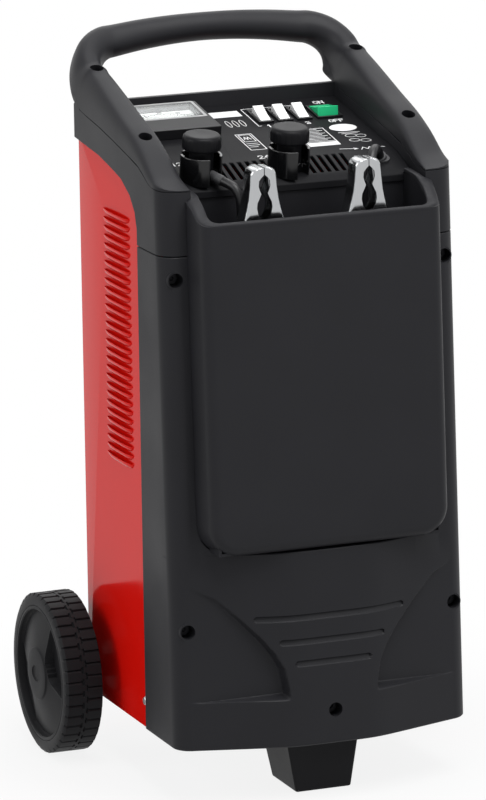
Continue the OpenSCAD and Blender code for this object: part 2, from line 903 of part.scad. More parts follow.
module dish_pocket() {
    translate([0, 0, wheel_w - dish_deep - pocket_deep])
        linear_extrude(far)
            polygon(concat(
                arc(0, 0, rim_r - 0.5, -31.5, 31.5, 12),
                [for (q = pocket_edge) q[0] * [cos(q[1]), sin(q[1])]]
            ));
}

module wheel(s) {
    translate([s * wheel_in_x, axle_y, axle_z])
        rotate([0, s * 90, 0])
            rotate([0, 0, s < 0 ? 180 : 0])
                wheel_body();
}

module wheel_left() {
    color(black)
        wheel(-1);
}

module wheel_right() {
    color(black)
        wheel(1);
}

cap_h = 4;

module axle_caps() {
    color(dark)
        pair()
            translate([axle_half_len - cap_h + 3, axle_y, axle_z])
                rotate([0, 90, 0])
                    difference() {
                        cylinder(h = cap_h, d = 19);
                        translate([0, 0, -1])
                            cylinder(h = cap_h - 2, d = axle_d);
                    }
}

// ---- control panel ----
lip_back_y = tub_back_y - tub_t - 0.2;
panel_profile = [
    [panel_rear_y, panel_face(panel_rear_y)], [panel_bend_y, panel_z], [panel_front_y, panel_z - strip_drop],
    [panel_front_y - 4.5, panel_z - strip_drop - 2.2], [panel_front_y - 8, panel_z - strip_drop - 6],
    [panel_front_y - 8.5, lip_low_z], [lip_back_y, lip_low_z],
    [lip_back_y, panel_z - strip_drop - 6],
    [panel_front_y + 1, panel_z - strip_drop - panel_t], [panel_bend_y + 0.6, panel_z - panel_t],
    [panel_rear_y, panel_face(panel_rear_y) - panel_t]
];
strip_tilt = atan(strip_drop / (panel_bend_y - panel_front_y));
terminal_y = -62;
terminal_base_z = panel_z - strip_drop * (panel_bend_y - terminal_y) / (panel_bend_y - panel_front_y);
terminal_tilt = 8;
terminal_xs = [-terminal_x, 0];
meter_at = [-arm_in_x + 9 + meter_w / 2, 53.5];
rocker_y = 55.5;
rocker_face = 8.1;
rocker_x = 22;
rocker_xs = [rocker_x, rocker_x + rocker_pitch, rocker_x + 2 * rocker_pitch];
main_rocker_x = arm_in_x - 25.5;
case_margin = 2.2;
grommet_at = [87, -58];
slot_front_y = -70;
slot_rear_y = -42;

// Places its children on the panel's main face, which is then z = 0
module on_panel(x, y) {
    translate([x, y, panel_face(y)])
        rotate([panel_tilt, 0, 0])
            children();
}

// Places its children on the steeper front strip
module on_strip(x, y) {
    translate([x, y, panel_z - strip_drop * (panel_bend_y - y) / (panel_bend_y - panel_front_y)])
        rotate([strip_tilt, 0, 0])
            children();
}

module on_terminal(x) {
    translate([x, terminal_y, terminal_base_z])
        rotate([terminal_tilt, 0, 0])
            children();
}

module control_panel() {
    case_cut = rocker_len + 2 * case_margin - 2;
    color(black)
        difference() {
            side_block(panel_profile, -panel_half_w, panel_half_w);
            on_panel(meter_at[0], meter_at[1])
                box([-meter_w / 2 + 4, -meter_len / 2 + 4, -20], [meter_w / 2 - 4, meter_len / 2 - 4, 20]);
            for (x = rocker_xs)
                on_panel(x, rocker_y)
                    box([-rocker_w / 2 - 1, -case_cut / 2, -20], [rocker_w / 2 + 1, case_cut / 2, 20]);
            on_panel(main_rocker_x, rocker_y)
                box([-main_rocker_w / 2 - 1, -case_cut / 2, -20], [main_rocker_w / 2 + 1, case_cut / 2, 20]);
            for (x = terminal_xs)
                on_terminal(x)
                    translate([0, 0, -20])
                        cylinder(h = 40, d = stud_d + 6);
            on_strip(grommet_at[0], grommet_at[1])
                translate([0, 0, -20])
                    cylinder(h = 40, d = cable_d + 3);
            for (i = [0:6])
                vent_slot(-58.5 + i * slot_pitch);
            for (i = [0:5])
                vent_slot(21.5 + i * slot_pitch);
        }
}

module vent_slot(x) {
    box([x - slot_w / 2, slot_front_y, panel_z - 30], [x + slot_w / 2, slot_rear_y, panel_z + 20]);
}

meter_rise = 9;
window_w = 60;
window_len = 34;
window_off = meter_len / 2 - 3 - window_len / 2;
dial_z = 1.5;
needle_at = [0, -meter_len / 2 + 14];
needle_len = 38;

module meter_case() {
    color(black)
        on_panel(meter_at[0], meter_at[1])
            difference() {
                union() {
                    box([-meter_w / 2, -meter_len / 2, fit / 2], [meter_w / 2, meter_len / 2, meter_rise]);
                    box(
                        [-meter_w / 2 + 4.2, -meter_len / 2 + 4.2, -14],
                        [meter_w / 2 - 4.2, meter_len / 2 - 4.2, fit]
                    );
                }
                // Window opening and the space in which the needle sweeps
                box(
                    [-window_w / 2, window_off - window_len / 2, dial_z - 1],
                    [window_w / 2, window_off + window_len / 2, meter_rise + 1]
                );
                box([-window_w / 2, -meter_len / 2 + 5, dial_z - 1], [window_w / 2, window_off, meter_rise - 2.5]);
            }
}

module meter_window() {
    color([0.85, 0.88, 0.9, 0.35])
        on_panel(meter_at[0], meter_at[1])
            box(
                [-window_w / 2 + 0.2, window_off - window_len / 2 + 0.2, meter_rise - 1.8],
                [window_w / 2 - 0.2, window_off + window_len / 2 - 0.2, meter_rise - 0.3]
            );
}

module meter_dial() {
    color([0.93, 0.93, 0.9])
        on_panel(meter_at[0], meter_at[1])
            difference() {
                box(
                    [-window_w / 2 + 0.2, -meter_len / 2 + 5.2, dial_z - 1 + run],
                    [window_w / 2 - 0.2, window_off + window_len / 2 - 0.2, dial_z]
                );
                translate([needle_at[0], needle_at[1], -5])
                    cylinder(h = 20, d = 3.2);
            }
}

module meter_needle() {
    color([0.75, 0.1, 0.08])
        on_panel(meter_at[0], meter_at[1])
            translate([needle_at[0], needle_at[1], 0]) {
                translate([0, 0, dial_z - 1 + run])
                    cylinder(h = 3, d = 3);
                rotate([0, 0, 90 + needle_sweep / 2])
                    box([0, -0.5, dial_z + 0.8], [needle_len, 0.5, dial_z + 1.6]);
            }
}

case_depth = 16;
// Depth of the space in which a rocker's belly swings
case_hollow = 9.2;
case_rise = 2;
rocker_pivot_z = -2.5;
stub_d = 2.6;

// Open box that a rocker sits in
module switch_case(w) {
    out_w = w + 2 * case_margin;
    out_len = rocker_len + 2 * case_margin;
    difference() {
        union() {
            box([-out_w / 2, -out_len / 2, fit / 2], [out_w / 2, out_len / 2, case_rise]);
            box([-w / 2 - 0.8, -rocker_len / 2 - 1, -case_depth], [w / 2 + 0.8, rocker_len / 2 + 1, fit]);
        }
        box([-w / 2 - 0.25, -rocker_len / 2 - 0.4, -case_hollow], [w / 2 + 0.25, rocker_len / 2 + 0.4, 10]);
        translate([-far, 0, rocker_pivot_z])
            rotate([0, 90, 0])
                cylinder(h = 2 * far, d = stub_d + 2 * run);
    }
}

module charge_switch_cases() {
    color(black)
        for (x = rocker_xs)
            on_panel(x, rocker_y)
                switch_case(rocker_w);
}

module main_switch_case() {
    color(black)
        on_panel(main_rocker_x, rocker_y)
            switch_case(main_rocker_w);
}

// Rocker seen from the side: a shallow V on top and a round belly
function rocker_outline() = let (h = rocker_len / 2 - 2.2, k = h * tan(rocker_tilt))
    [[-h, rocker_face], [0, rocker_face - k * 0.15], [h, rocker_face], [h - 0.8, -0.6], [3, -5.4], [-3, -5.4],
        [-h + 0.8, -0.6]];

// turned = 1 leaves the front end up, and 0 the rear end
module rocker(x, w, turned) {
    on_panel(x, rocker_y)
        mirror([0, turned, 0])
            translate([0, 0, rocker_pivot_z]) {
                rotate([rocker_tilt, 0, 0])
                    side_block(rocker_outline(), -w / 2, w / 2);
                translate([-w / 2 - 0.7, 0, 0])
                    rotate([0, 90, 0])
                        cylinder(h = w + 1.4, d = stub_d);
            }
}

module rocker_1() {
    color([0.93, 0.93, 0.92])
        rocker(rocker_xs[0], rocker_w, 0);
}

module rocker_2() {
    color([0.93, 0.93, 0.92])
        rocker(rocker_xs[1], rocker_w, 0);
}

module rocker_3() {
    color([0.93, 0.93, 0.92])
        rocker(rocker_xs[2], rocker_w, 0);
}

module main_rocker() {
    color([0.05, 0.55, 0.25])
        rocker(main_rocker_x, main_rocker_w, 1);
}

// ---- terminals ----
neck_d = 21;
neck_z = 8;
cap_z = guard_h + 3;
washer_t = 1.6;
washer_z = neck_z - washer_t;
lug_t = 1.6;
stud_top = cap_z + knob_h - 5;
seat_z = washer_z - lug_t - 2 * run;
seat_zs = [seat_z, washer_z - run];
guard_sink = 7;

module terminal_guards() {
    color(black)
        for (i = [0:1])
            on_terminal(terminal_xs[i])
                difference() {
                    intersection() {
                        translate([0, 0, -guard_sink])
                            cylinder(h = guard_h + guard_sink, d = guard_d);
                        above_strip();
                    }
                    translate([0, 0, seat_zs[i]])
                        cylinder(h = far, d = guard_d - 5);
                    translate([0, 0, -20])
                        cylinder(h = far, d = stud_d + 2 * run);
                    // Notches for a ring lug and its crimp sleeve
                    rotate([0, 0, lug_dir])
                        box([0, -7, seat_zs[i]], [far, 7, far]);
                    rotate([0, 0, lug_dir])
                        box([boot_from - 2.5, -7, -4], [far, 7, far]);
                    rotate([0, 0, 150])
                        box([0, -4, guard_h - 8], [far, 4, far]);
                }
}

// The half space just above the front strip, in a terminal's own frame
module above_strip() {
    rotate([strip_tilt - terminal_tilt, 0, 0])
        box([-far, -far, fit / 2], [far, far, far]);
}

module terminal_studs() {
    color(steel)
        for (x = terminal_xs)
            on_terminal(x) {
                translate([0, 0, -stud_foot])
                    cylinder(h = stud_top + stud_foot, d = stud_d);
                translate([0, 0, -16])
                    cylinder(h = 5, d = 15, $fn = 6);
            }
}

module terminal_washer(x, base) {
    on_terminal(x)
        difference() {
            translate([0, 0, base])
                cylinder(h = washer_t, d = neck_d);
            cylinder(h = far, d = stud_d + 2 * run);
        }
}

module terminal_knob(x, base) {
    on_terminal(x)
        difference() {
            union() {
                translate([0, 0, base + washer_t + run])
                    cylinder(h = cap_z - base - washer_t, d = neck_d);
                translate([0, 0, cap_z])
                    cylinder(h = knob_h - 2, d = knob_d, $fn = 72);
                translate([0, 0, cap_z + knob_h - 2 - eps])
                    cylinder(h = 2, d1 = knob_d, d2 = knob_d - 3, $fn = 72);
            }
            translate([0, 0, -1])
                cylinder(h = stud_top + 1.2, d = stud_d + 2 * run);
            // Finger flutes
            for (a = [0:30:330])
                rotate([0, 0, a])
                    translate([knob_d / 2 + 0.9, 0, cap_z - 1])
                        cylinder(h = knob_h + 2, r = 1.6, $fn = 16);
        }
}

module terminal_washer_12() {
    color(steel)
        terminal_washer(terminal_xs[0], washer_z);
}

module terminal_washer_24() {
    color(steel)
        terminal_washer(terminal_xs[1], washer_z);
}

module terminal_knob_12() {
    color(black)
        terminal_knob(terminal_xs[0], washer_z);
}

module terminal_knob_24() {
    color(black)
        terminal_knob(terminal_xs[1], washer_z);
}

// ---- cables ----
clamp_y = -116;
clamp_xs = [-47, 48];
clamp_top_z = 547.5;
clamp_pivot_z = 492;
clamp_foot_z = clamp_top_z - clamp_len;
fixed_handle_x = -17.5;
hank_y = -86;
hank_turns = 3;
hank_bottom = tub_floor_z + tub_t + fit + cable_d / 2 + hank_r;
hank_xs = [for (x = clamp_xs) x + fixed_handle_x + hank_r];
hank_top = hank_bottom + hank_run;
waist_draw = 15;
ring_sides = 10;

lug_dir = -62;
boot_from = 12;
boot_len = 14;
boot_drop = 16;
// Points of the first cable, from the crimp sleeve to the top of its hank
positive_route = [
    [-62, -96, 526], [-60, -100, 520], [-59, -101, 512], [-58, -100, 500], [-54, -97, 480],
    [-45, -93, 455], [-32, -89, 430], [-22, -87, 412], [-18, -86, 400]
];
// Points of the second cable, from the grommet to the top of its hank
negative_route = [
    [79, -68, 543.5], [75.5, -73, 545], [72, -78, 543.5], [69, -82, 540], [67, -85, 535], [66, -86, 529],
    [66, -86, 515], [66.5, -86, 490], [70, -86, 460], [75, -86, 430], [77.5, -86, 408]
];
grommet_lean = [-0.424, -0.566, 0.707];

function curve_at(p, i, t) =
    let (
        a = p[max(i - 1, 0)], b = p[i], c = p[i + 1], d = p[min(i + 2, len(p) - 1)]
    )
    0.5 * ((2 * b) + (c - a) * t + (2 * a - 5 * b + 4 * c - d) * t * t + (3 * b - a - 3 * c + d) * t * t * t);
function smooth_path(p, n) = concat(
    [for (i = [0:len(p) - 2]) for (k = [0:n - 1]) curve_at(p, i, k / n)],
    [p[len(p) - 1]]
);
// Direction of a path at point i
function heading(p, i) = unit(p[min(i + 1, len(p) - 1)] - p[max(i - 1, 0)]);
// Side vector carried along the path so that the rings don't twist
function carried(prev, t) = unit(prev - t * (prev * t));
function frames(p, i, prev) = i >= len(p) ? [] : let (s = carried(prev, heading(p, i))) concat([s], frames(p, i + 1, s));

module tube(p, d, sides, first_side, ends) {
    fr = frames(p, 0, first_side);
    rings = [
        for (i = [0:len(p) - 1])
            let (
                t = i == 0 ? ends[0] : i == len(p) - 1 ? ends[1] : heading(p, i),
                s = carried(fr[i], t), w = cross(t, s)
            )
            [for (k = [0:sides - 1]) p[i] + d / 2 * (s * cos(360 * k / sides) + w * sin(360 * k / sides))]
    ];
    strip(rings);
}

// Centre of turn angle a of a hank: down one run, round the fold, up the other run
function hank_point(x, q) =
    let (
        turn = floor(q), f = q - turn, run_f = hank_run / (2 * hank_run + 2 * PI * hank_r),
        fold_f = 0.5 - run_f,
        y = hank_y - hank_step * q,
        s = f < run_f ? f / run_f : f < 0.5 ? (f - run_f) / fold_f
            : f < 0.5 + run_f ? (f - 0.5) / run_f : (f - 0.5 - run_f) / fold_f,
        draw = waist_draw * (1 - cos(360 * s)) / 2
    )
    f < run_f ? [x + hank_r - draw, y, hank_top - hank_run * s]
        : f < 0.5 ? [x + hank_r * cos(180 * s), y, hank_bottom - hank_r * sin(180 * s)]
        : f < 0.5 + run_f ? [x - hank_r + draw, y, hank_bottom + hank_run * s]
        : [x - hank_r * cos(180 * s), y, hank_top + hank_r * sin(180 * s)];
loop_rings = 24;
hank_end = hank_turns + hank_run / (2 * hank_run + 2 * PI * hank_r) + 0.5;
function hank_path(x) = concat(
    [hank_point(x, 0) + [0, 0, cable_d]],
    [for (i = [0:floor(hank_end * loop_rings)]) hank_point(x, i / loop_rings)],
    [
        hank_point(x, hank_end - 0.0001), hank_point(x, hank_end - 0.0001) + [0, 0, 4],
        [x - hank_r, clamp_y, clamp_foot_z - 1.2 * cable_d], [x - hank_r, clamp_y, clamp_foot_z - run]
    ]
);

module hank(x) {
    tube(hank_path(x), cable_d, 6, [1, 0, 0], [[0, 0, -1], [0, 0, 1]]);
}

// Least gap between turns of a hank, printed for the maker
hank_probe = hank_path(hank_xs[0]);
hank_gap = min([
    for (i = [0:2:len(hank_probe) - 1])
        for (j = [i + 6:2:len(hank_probe) - 1]) norm(hank_probe[i] - hank_probe[j])
]) - cable_d;
echo(hank_gap = hank_gap);

function path_length(p) = len(p) < 2 ? 0 : [for (i = [1:len(p) - 1]) norm(p[i] - p[i - 1])] * [for (i = [1:len(p) - 1]) 1];

lug_origin = [terminal_xs[0], terminal_y, terminal_base_z];
lug_axis = [cos(lug_dir) * cos(boot_drop), sin(lug_dir) * cos(boot_drop), -sin(boot_drop)];
boot_start = lug_origin + [0, 0, seat_z + 2.2] + lug_axis * boot_from;
boot_end = boot_start + lug_axis * boot_len;

positive_path = smooth_path(concat([boot_end, boot_end + lug_axis * cable_d], positive_route,
    [[hank_xs[0] + hank_r, hank_y, hank_top + cable_d]]), 3);
grommet_h = 2;
grommet_base = [
    grommet_at[0], grommet_at[1],
    panel_z - strip_drop * (panel_bend_y - grommet_at[1]) / (panel_bend_y - panel_front_y)
];
grommet_neck = 5.2;
grommet_top = grommet_base + grommet_lean * grommet_neck;
negative_path = smooth_path(concat([grommet_top, grommet_top + grommet_lean * cable_d], negative_route,
    [[hank_xs[1] + hank_r, hank_y, hank_top + cable_d]]), 3);
echo(positive_length = path_length(positive_path) + path_length(hank_path(hank_xs[0])));
echo(negative_length = path_length(negative_path) + path_length(hank_path(hank_xs[1])));

module cable_positive() {
    color([0.07, 0.07, 0.08])
        tube(positive_path, cable_d, ring_sides, [0, 0, 1], [lug_axis, [0, 0, -1]]);
}

module cable_negative() {
    color([0.07, 0.07, 0.08])
        tube(negative_path, cable_d, ring_sides, [1, 0, 0], [grommet_lean, [0, 0, -1]]);
}

module hank_positive() {
    color([0.07, 0.07, 0.08])
        hank(hank_xs[0]);
}

module hank_negative() {
    color([0.07, 0.07, 0.08])
        hank(hank_xs[1]);
}

tie_h = 12;
tie_t = 1.5;

module cable_ties() {
    tie_gap = cable_d / 2 + 0.4;
    hx = hank_r - waist_draw + tie_gap + 0.5;
    y1 = hank_y + tie_gap;
    y0 = hank_y - hank_step * hank_end - tie_gap;
    z0 = hank_bottom + hank_run / 2 - tie_h / 2;
    color([0.2, 0.2, 0.21])
        for (x = hank_xs)
            difference() {
                box([x - hx - tie_t, y0 - tie_t, z0], [x + hx + tie_t, y1 + tie_t, z0 + tie_h]);
                box([x - hx, y0, z0 - 1], [x + hx, y1, z0 + tie_h + 1]);
            }
}

module cable_grommet() {
    color([0.25, 0.25, 0.26])
        union() {
            on_strip(grommet_at[0], grommet_at[1]) {
                translate([0, 0, run])
                    cylinder(h = grommet_h - run, d = cable_d + 7);
                translate([0, 0, -8])
                    cylinder(h = grommet_h + 7, d = cable_d + 2.6);
            }
            // Slanted collar that the cable leaves from
            intersection() {
                translate(grommet_top)
                    rotate([0, acos(grommet_lean[2]), atan2(grommet_lean[1], grommet_lean[0])])
                        translate([0, 0, -8])
                            cylinder(h = 8, d = cable_d + 3);
                on_strip(grommet_at[0], grommet_at[1])
                    box([-20, -20, run], [20, 20, 20]);
            }
        }
}

module cable_lug() {
    color(steel)
        on_terminal(terminal_xs[0])
            difference() {
                union() {
                    translate([0, 0, seat_z + run])
                        cylinder(h = lug_t, d = 16);
                    rotate([0, 0, lug_dir])
                        box([0, -3.5, seat_z + run], [boot_from + 3, 3.5, seat_z + run + lug_t]);
                }
                translate([0, 0, -1])
                    cylinder(h = far, d = stud_d + 2 * run);
            }
}

// Crimp sleeve that joins the lug to the cable
module cable_boot() {
    color([0.3, 0.3, 0.31])
        translate(boot_start)
            rotate([0, 90 + boot_drop, lug_dir])
                cylinder(h = boot_len, d1 = cable_d + 1, d2 = cable_d + 1);
}

// ---- clamps ----
// Right half of a clamp seen from the front, pivot at the origin
jaw_outer = [
    [1, 55.5], [6, 55.5], [10, 53], [12, 49], [12.3, 38], [13.6, 24], [16, 10], [16.5, 0], [17, -10],
    [19.5, -30], [22, -55], [23.5, -80]
];
jaw_inner = [
    [11.5, -80], [11.5, -55], [11, -30], [9, -12], [5, -7.5], [0, -8], [-6, -6], [-8, 0], [-6.5, 5], [-1, 9],
    [3, 11.5], [6.5, 17], [7.3, 22], [6.6, 27], [4.6, 31], [3.3, 33.5], [4.4, 36], [5.6, 40], [5, 44.5],
    [3, 47], [1.2, 49]
];
pin_d = 5;

module clamp_half(depth) {
    d = depth / 2;
    tip = jaw_outer[0];
    wall_outline = concat(jaw_outer, reversed([
        for (p = jaw_outer) p + [p == tip ? 0 : -clamp_t, p[1] > tip[1] - 4 ? -clamp_t : 0]
    ]));
    difference() {
        union() {
            // Front and rear flanges
            front_block(concat(jaw_outer, jaw_inner), -d, -d + clamp_t);
            front_block(concat(jaw_outer, jaw_inner), d - clamp_t, d);
            // Outer web that joins them
            front_block(wall_outline, -d + eps, d - eps);
        }
        translate([0, -far, 0])
            rotate([-90, 0, 0])
                cylinder(h = 2 * far, d = pin_d + 2 * run);
    }
}

module at_clamp(i) {
    translate([clamp_xs[i], clamp_y, clamp_pivot_z])
        children();
}

// The fixed half is on the left and holds the cable in a socket
module clamp_fixed(i) {
    socket_h = 14;
    at_clamp(i)
        union() {
            intersection() {
                mirror([1, 0, 0])
                    clamp_half(clamp_depth);
                box([-far, -far, clamp_foot_z - clamp_pivot_z], [far, far, far]);
            }
            translate([fixed_handle_x, 0, clamp_foot_z - clamp_pivot_z])
                cylinder(h = socket_h, d = cable_d + 2);
            box(
                [fixed_handle_x - 4, -clamp_depth / 2 + 1, clamp_foot_z - clamp_pivot_z + 4],
                [fixed_handle_x + 4, clamp_depth / 2 - 1, clamp_foot_z - clamp_pivot_z + socket_h]
            );
        }
}

module clamp_jaw(i) {
    at_clamp(i)
        intersection() {
            clamp_half(clamp_depth - 2 * clamp_t - 0.4);
            box([-far, -far, clamp_foot_z - clamp_pivot_z + 5], [far, far, far]);
        }
}

module clamp_positive_fixed() {
    color(steel)
        clamp_fixed(0);
}

module clamp_positive_jaw() {
    color(steel)
        clamp_jaw(0);
}

module clamp_negative_fixed() {
    color(steel)
        clamp_fixed(1);
}

module clamp_negative_jaw() {
    color(steel)
        clamp_jaw(1);
}

module clamp_pins() {
    color(steel)
        for (i = [0:1])
            at_clamp(i)
                rotate([90, 0, 0])
                    translate([0, 0, -clamp_depth / 2 - 1]) {
                        cylinder(h = clamp_depth + 2, d = pin_d);
                        translate([0, 0, -1.2])
                            cylinder(h = 2, d = pin_d + 3);
                        translate([0, 0, clamp_depth + 1.2])
                            cylinder(h = 2, d = pin_d + 3);
                    }
}

module clamp_springs() {
    coil_len = clamp_depth - 4 * clamp_t - 3;
    color(steel)
        for (i = [0:1])
            at_clamp(i)
                rotate([90, 0, 0])
                    translate([0, 0, -coil_len / 2])
                        difference() {
                            cylinder(h = coil_len, d = pin_d + 4);
                            translate([0, 0, -1])
                                cylinder(h = far, d = pin_d + 2 * run);
                        }
}

// ---- transformer and rectifier ----
core_y = 12;
bar_h = 8;
core_z = body_floor_z + tray_t + bar_h;
core_side = core_leg / 2;
window_h = core_h - 2 * core_side;
coil_h = window_h / 2 - 1;
coil_t = (core_w - 2 * core_leg) / 2 - 1.5;

module transformer_core() {
    color([0.35, 0.36, 0.38])
        translate([0, core_y, core_z])
            difference() {
                box([-core_w / 2, -core_stack / 2, 0], [core_w / 2, core_stack / 2, core_h]);
                for (s = [-1, 1])
                    translate([s * (core_leg / 2 + core_w / 2 - core_side) / 2, 0, core_h / 2])
                        cube([core_w / 2 - core_side - core_leg / 2, core_stack + 2, window_h], center = true);
            }
}

module coil(z) {
    g = 0.5;
    translate([0, core_y, z])
        difference() {
            box(
                [-core_leg / 2 - g - coil_t, -core_stack / 2 - g - coil_t, 0],
                [core_leg / 2 + g + coil_t, core_stack / 2 + g + coil_t, coil_h]
            );
            box([-core_leg / 2 - g, -core_stack / 2 - g, -1], [core_leg / 2 + g, core_stack / 2 + g, coil_h + 1]);
        }
}

module primary_coil() {
    color(copper)
        coil(core_z + core_side + 0.3);
}

module secondary_coil() {
    color(copper)
        coil(core_z + core_side + window_h / 2 + 0.2);
}

bar_len = core_w + 30;
bar_d = 16;
bar_y = core_stack / 2 - 10;

module core_frame() {
    color(steel)
        difference() {
            for (z = [core_z - bar_h, core_z + core_h + 0.1])
                for (s = [-1, 1])
                    translate([0, core_y + s * bar_y, z])
                        box([-bar_len / 2, -bar_d / 2, 0], [bar_len / 2, bar_d / 2, bar_h - 0.1]);
            for (sx = [-1, 1])
                for (sy = [-1, 1])
                    translate([sx * (core_w / 2 + 8), core_y + sy * bar_y, 0])
                        cylinder(h = far, d = 6.1);
        }
}

module core_bolts() {
    color(steel)
        for (sx = [-1, 1])
            for (sy = [-1, 1])
                translate([sx * (core_w / 2 + 8), core_y + sy * bar_y, core_z - bar_h]) {
                    cylinder(h = core_h + 2 * bar_h + 6, d = 6);
                    translate([0, 0, core_h + 2 * bar_h + 0.1])
                        cylinder(h = 5, d = 11, $fn = 6);
                }
}

sink_z = core_z + core_h + bar_h;
sink_h = 70;
sink_half = core_w / 2 + 13;
sink_foot = core_w / 2 - 5;
sink_t = 4;
sink_web_z = sink_z + 7;
sink_fins = 10;
sink_fin_t = 2;
sink_fin_len = 24;
sink_fin_z = sink_z + 12;
sink_rear_y = core_y - bar_y;

module heatsink() {
    fin_step = (2 * sink_half - 2 * sink_t - sink_fin_t) / (sink_fins - 1);
    color([0.7, 0.71, 0.73])
        union() {
            box([-sink_half, sink_rear_y - sink_t, sink_web_z], [sink_half, sink_rear_y, sink_z + sink_h]);
            box([-sink_foot, sink_rear_y - sink_t, sink_z + 0.1], [sink_foot, sink_rear_y, sink_web_z + 1]);
            box([-sink_foot, sink_rear_y - 2 * sink_t, sink_z + 0.1], [sink_foot, sink_rear_y, sink_z + sink_t]);
            for (i = [0:sink_fins - 1])
                translate([-sink_half + sink_t + i * fin_step, sink_rear_y - 0.5, sink_fin_z])
                    cube([sink_fin_t, sink_fin_len, sink_z + sink_h - sink_fin_z]);
        }
}

diode_x = 30;
diode_up = 40;
diode_d = 24;
diode_base_h = 5;

module diodes() {
    color(steel)
        for (s = [-1, 1])
            translate([s * diode_x, sink_rear_y - sink_t, sink_z + diode_up])
                rotate([90, 0, 0]) {
                    cylinder(h = diode_base_h, d = diode_d, $fn = 6);
                    translate([0, 0, diode_base_h])
                        cylinder(h = 7, d = diode_d - 8);
                }
}

lead_y0 = terminal_y + 2;
lead_w = 9;
stud_foot = 26;
lead_t = 3;
lead_top_z = terminal_base_z;
lead_foot_z = sink_z + sink_h - 14;
sink_face_y = sink_rear_y - sink_t - run;
lead_line = [
    [lead_y0, lead_top_z], [lead_y0 + lead_t, lead_top_z], [lead_y0 + lead_t, lead_foot_z + 14],
    [sink_face_y, lead_foot_z + 3], [sink_face_y, lead_foot_z - 12], [sink_face_y - lead_t, lead_foot_z - 12],
    [sink_face_y - lead_t, lead_foot_z + 2], [lead_y0, lead_foot_z + 12]
];

module copper_leads() {
    color(copper)
        difference() {
            for (x = [-terminal_x, 0, terminal_x])
                side_block(lead_line, x - lead_w, x + lead_w);
            // The straps end flush under the studs
            on_terminal(0)
                box([-far, -far, -stud_foot - run], [far, far, far]);
        }
}

module fuse_link() {
    color(copper)
        on_terminal(terminal_x)
            box([-lead_w, -8, -stud_foot], [lead_w + 8, 12, -stud_foot + 2]);
}

module thermal_cutout() {
    color([0.8, 0.75, 0.6])
        translate([0, core_y + core_stack / 2 + coil_t + 0.5, core_z + core_side + window_h * 0.75])
            rotate([-90, 0, 0])
                cylinder(h = 6, d = 16);
}

loom_d = 7;
loom_route = [
    [70, 90, 110], [70, 84, 110], [72, 76, 116], [78, 68, 135], [90, 62, 170], [98, 60, 230], [100, 58, 300],
    [100, 56, 380], [98, 54, 450], [90, 50, 500], [82, 46, 520], [78, 44, 532]
];

module wiring_loom() {
    color([0.15, 0.15, 0.16])
        tube(smooth_path(loom_route, 2), loom_d, 8, [1, 0, 0], [[0, -1, 0], unit([-4, -2, 12])]);
}

module mains_gland() {
    color(black)
        translate([gland_at[0], cover_rear_y, gland_at[1]])
            rotate([-90, 0, 0])
                difference() {
                    union() {
                        translate([0, 0, fit / 2])
                            cylinder(h = 5, d = gland_d + 10, $fn = 6);
                        translate([0, 0, 5])
                            cylinder(h = 9, d1 = gland_d + 6, d2 = gland_d + 2);
                        translate([0, 0, -8])
                            cylinder(h = 9, d = gland_d);
                        translate([0, 0, -sheet_t - 3.2])
                            cylinder(h = 3, d = gland_d + 9, $fn = 6);
                    }
                    translate([0, 0, 2])
                        cylinder(h = far, d = 10);
                }
}

module cover_screws() {
    color(steel)
        pair()
            for (p = cover_screw_at)
                translate([cover_half_w, p[0], p[1]])
                    rotate([0, 90, 0])
                        difference() {
                            union() {
                                translate([0, 0, 0.05])
                                    cylinder(h = 2.2, d1 = 9, d2 = 6);
                                translate([0, 0, -6])
                                    cylinder(h = 7, d = 4);
                            }
                            translate([0, 0, 1.4])
                                box([-3, -0.5, 0], [3, 0.5, 2]);
                        }
}

front_shell();
console();
pocket_front();
pocket_tub();
control_panel();
handle_top();
handle_back();
cover();
base_tray();
foot();
axle();
wheel_left();
wheel_right();
axle_caps();
axle_sleeves();
meter_case();
meter_window();
meter_dial();
meter_needle();
charge_switch_cases();
rocker_1();
rocker_2();
rocker_3();
main_switch_case();
main_rocker();
terminal_guards();
terminal_studs();
terminal_washer_12();
terminal_washer_24();
terminal_knob_12();
terminal_knob_24();
cable_lug();
cable_boot();
cable_grommet();
cable_positive();
hank_positive();
cable_negative();
hank_negative();
cable_ties();
clamp_positive_fixed();
clamp_positive_jaw();
clamp_negative_fixed();
clamp_negative_jaw();
clamp_pins();
clamp_springs();
transformer_core();
primary_coil();
secondary_coil();
core_frame();
core_bolts();
heatsink();
diodes();
fuse_link();
copper_leads();
thermal_cutout();
wiring_loom();
mains_gland();
handle_screws();
front_screws();
cover_screws();
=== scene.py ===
"""The wheeled battery charger's visual model: shapes in millimetres, meshes in metres."""

import json
import math

import bmesh
import bpy
import numpy as np
from mathutils import Matrix, Vector

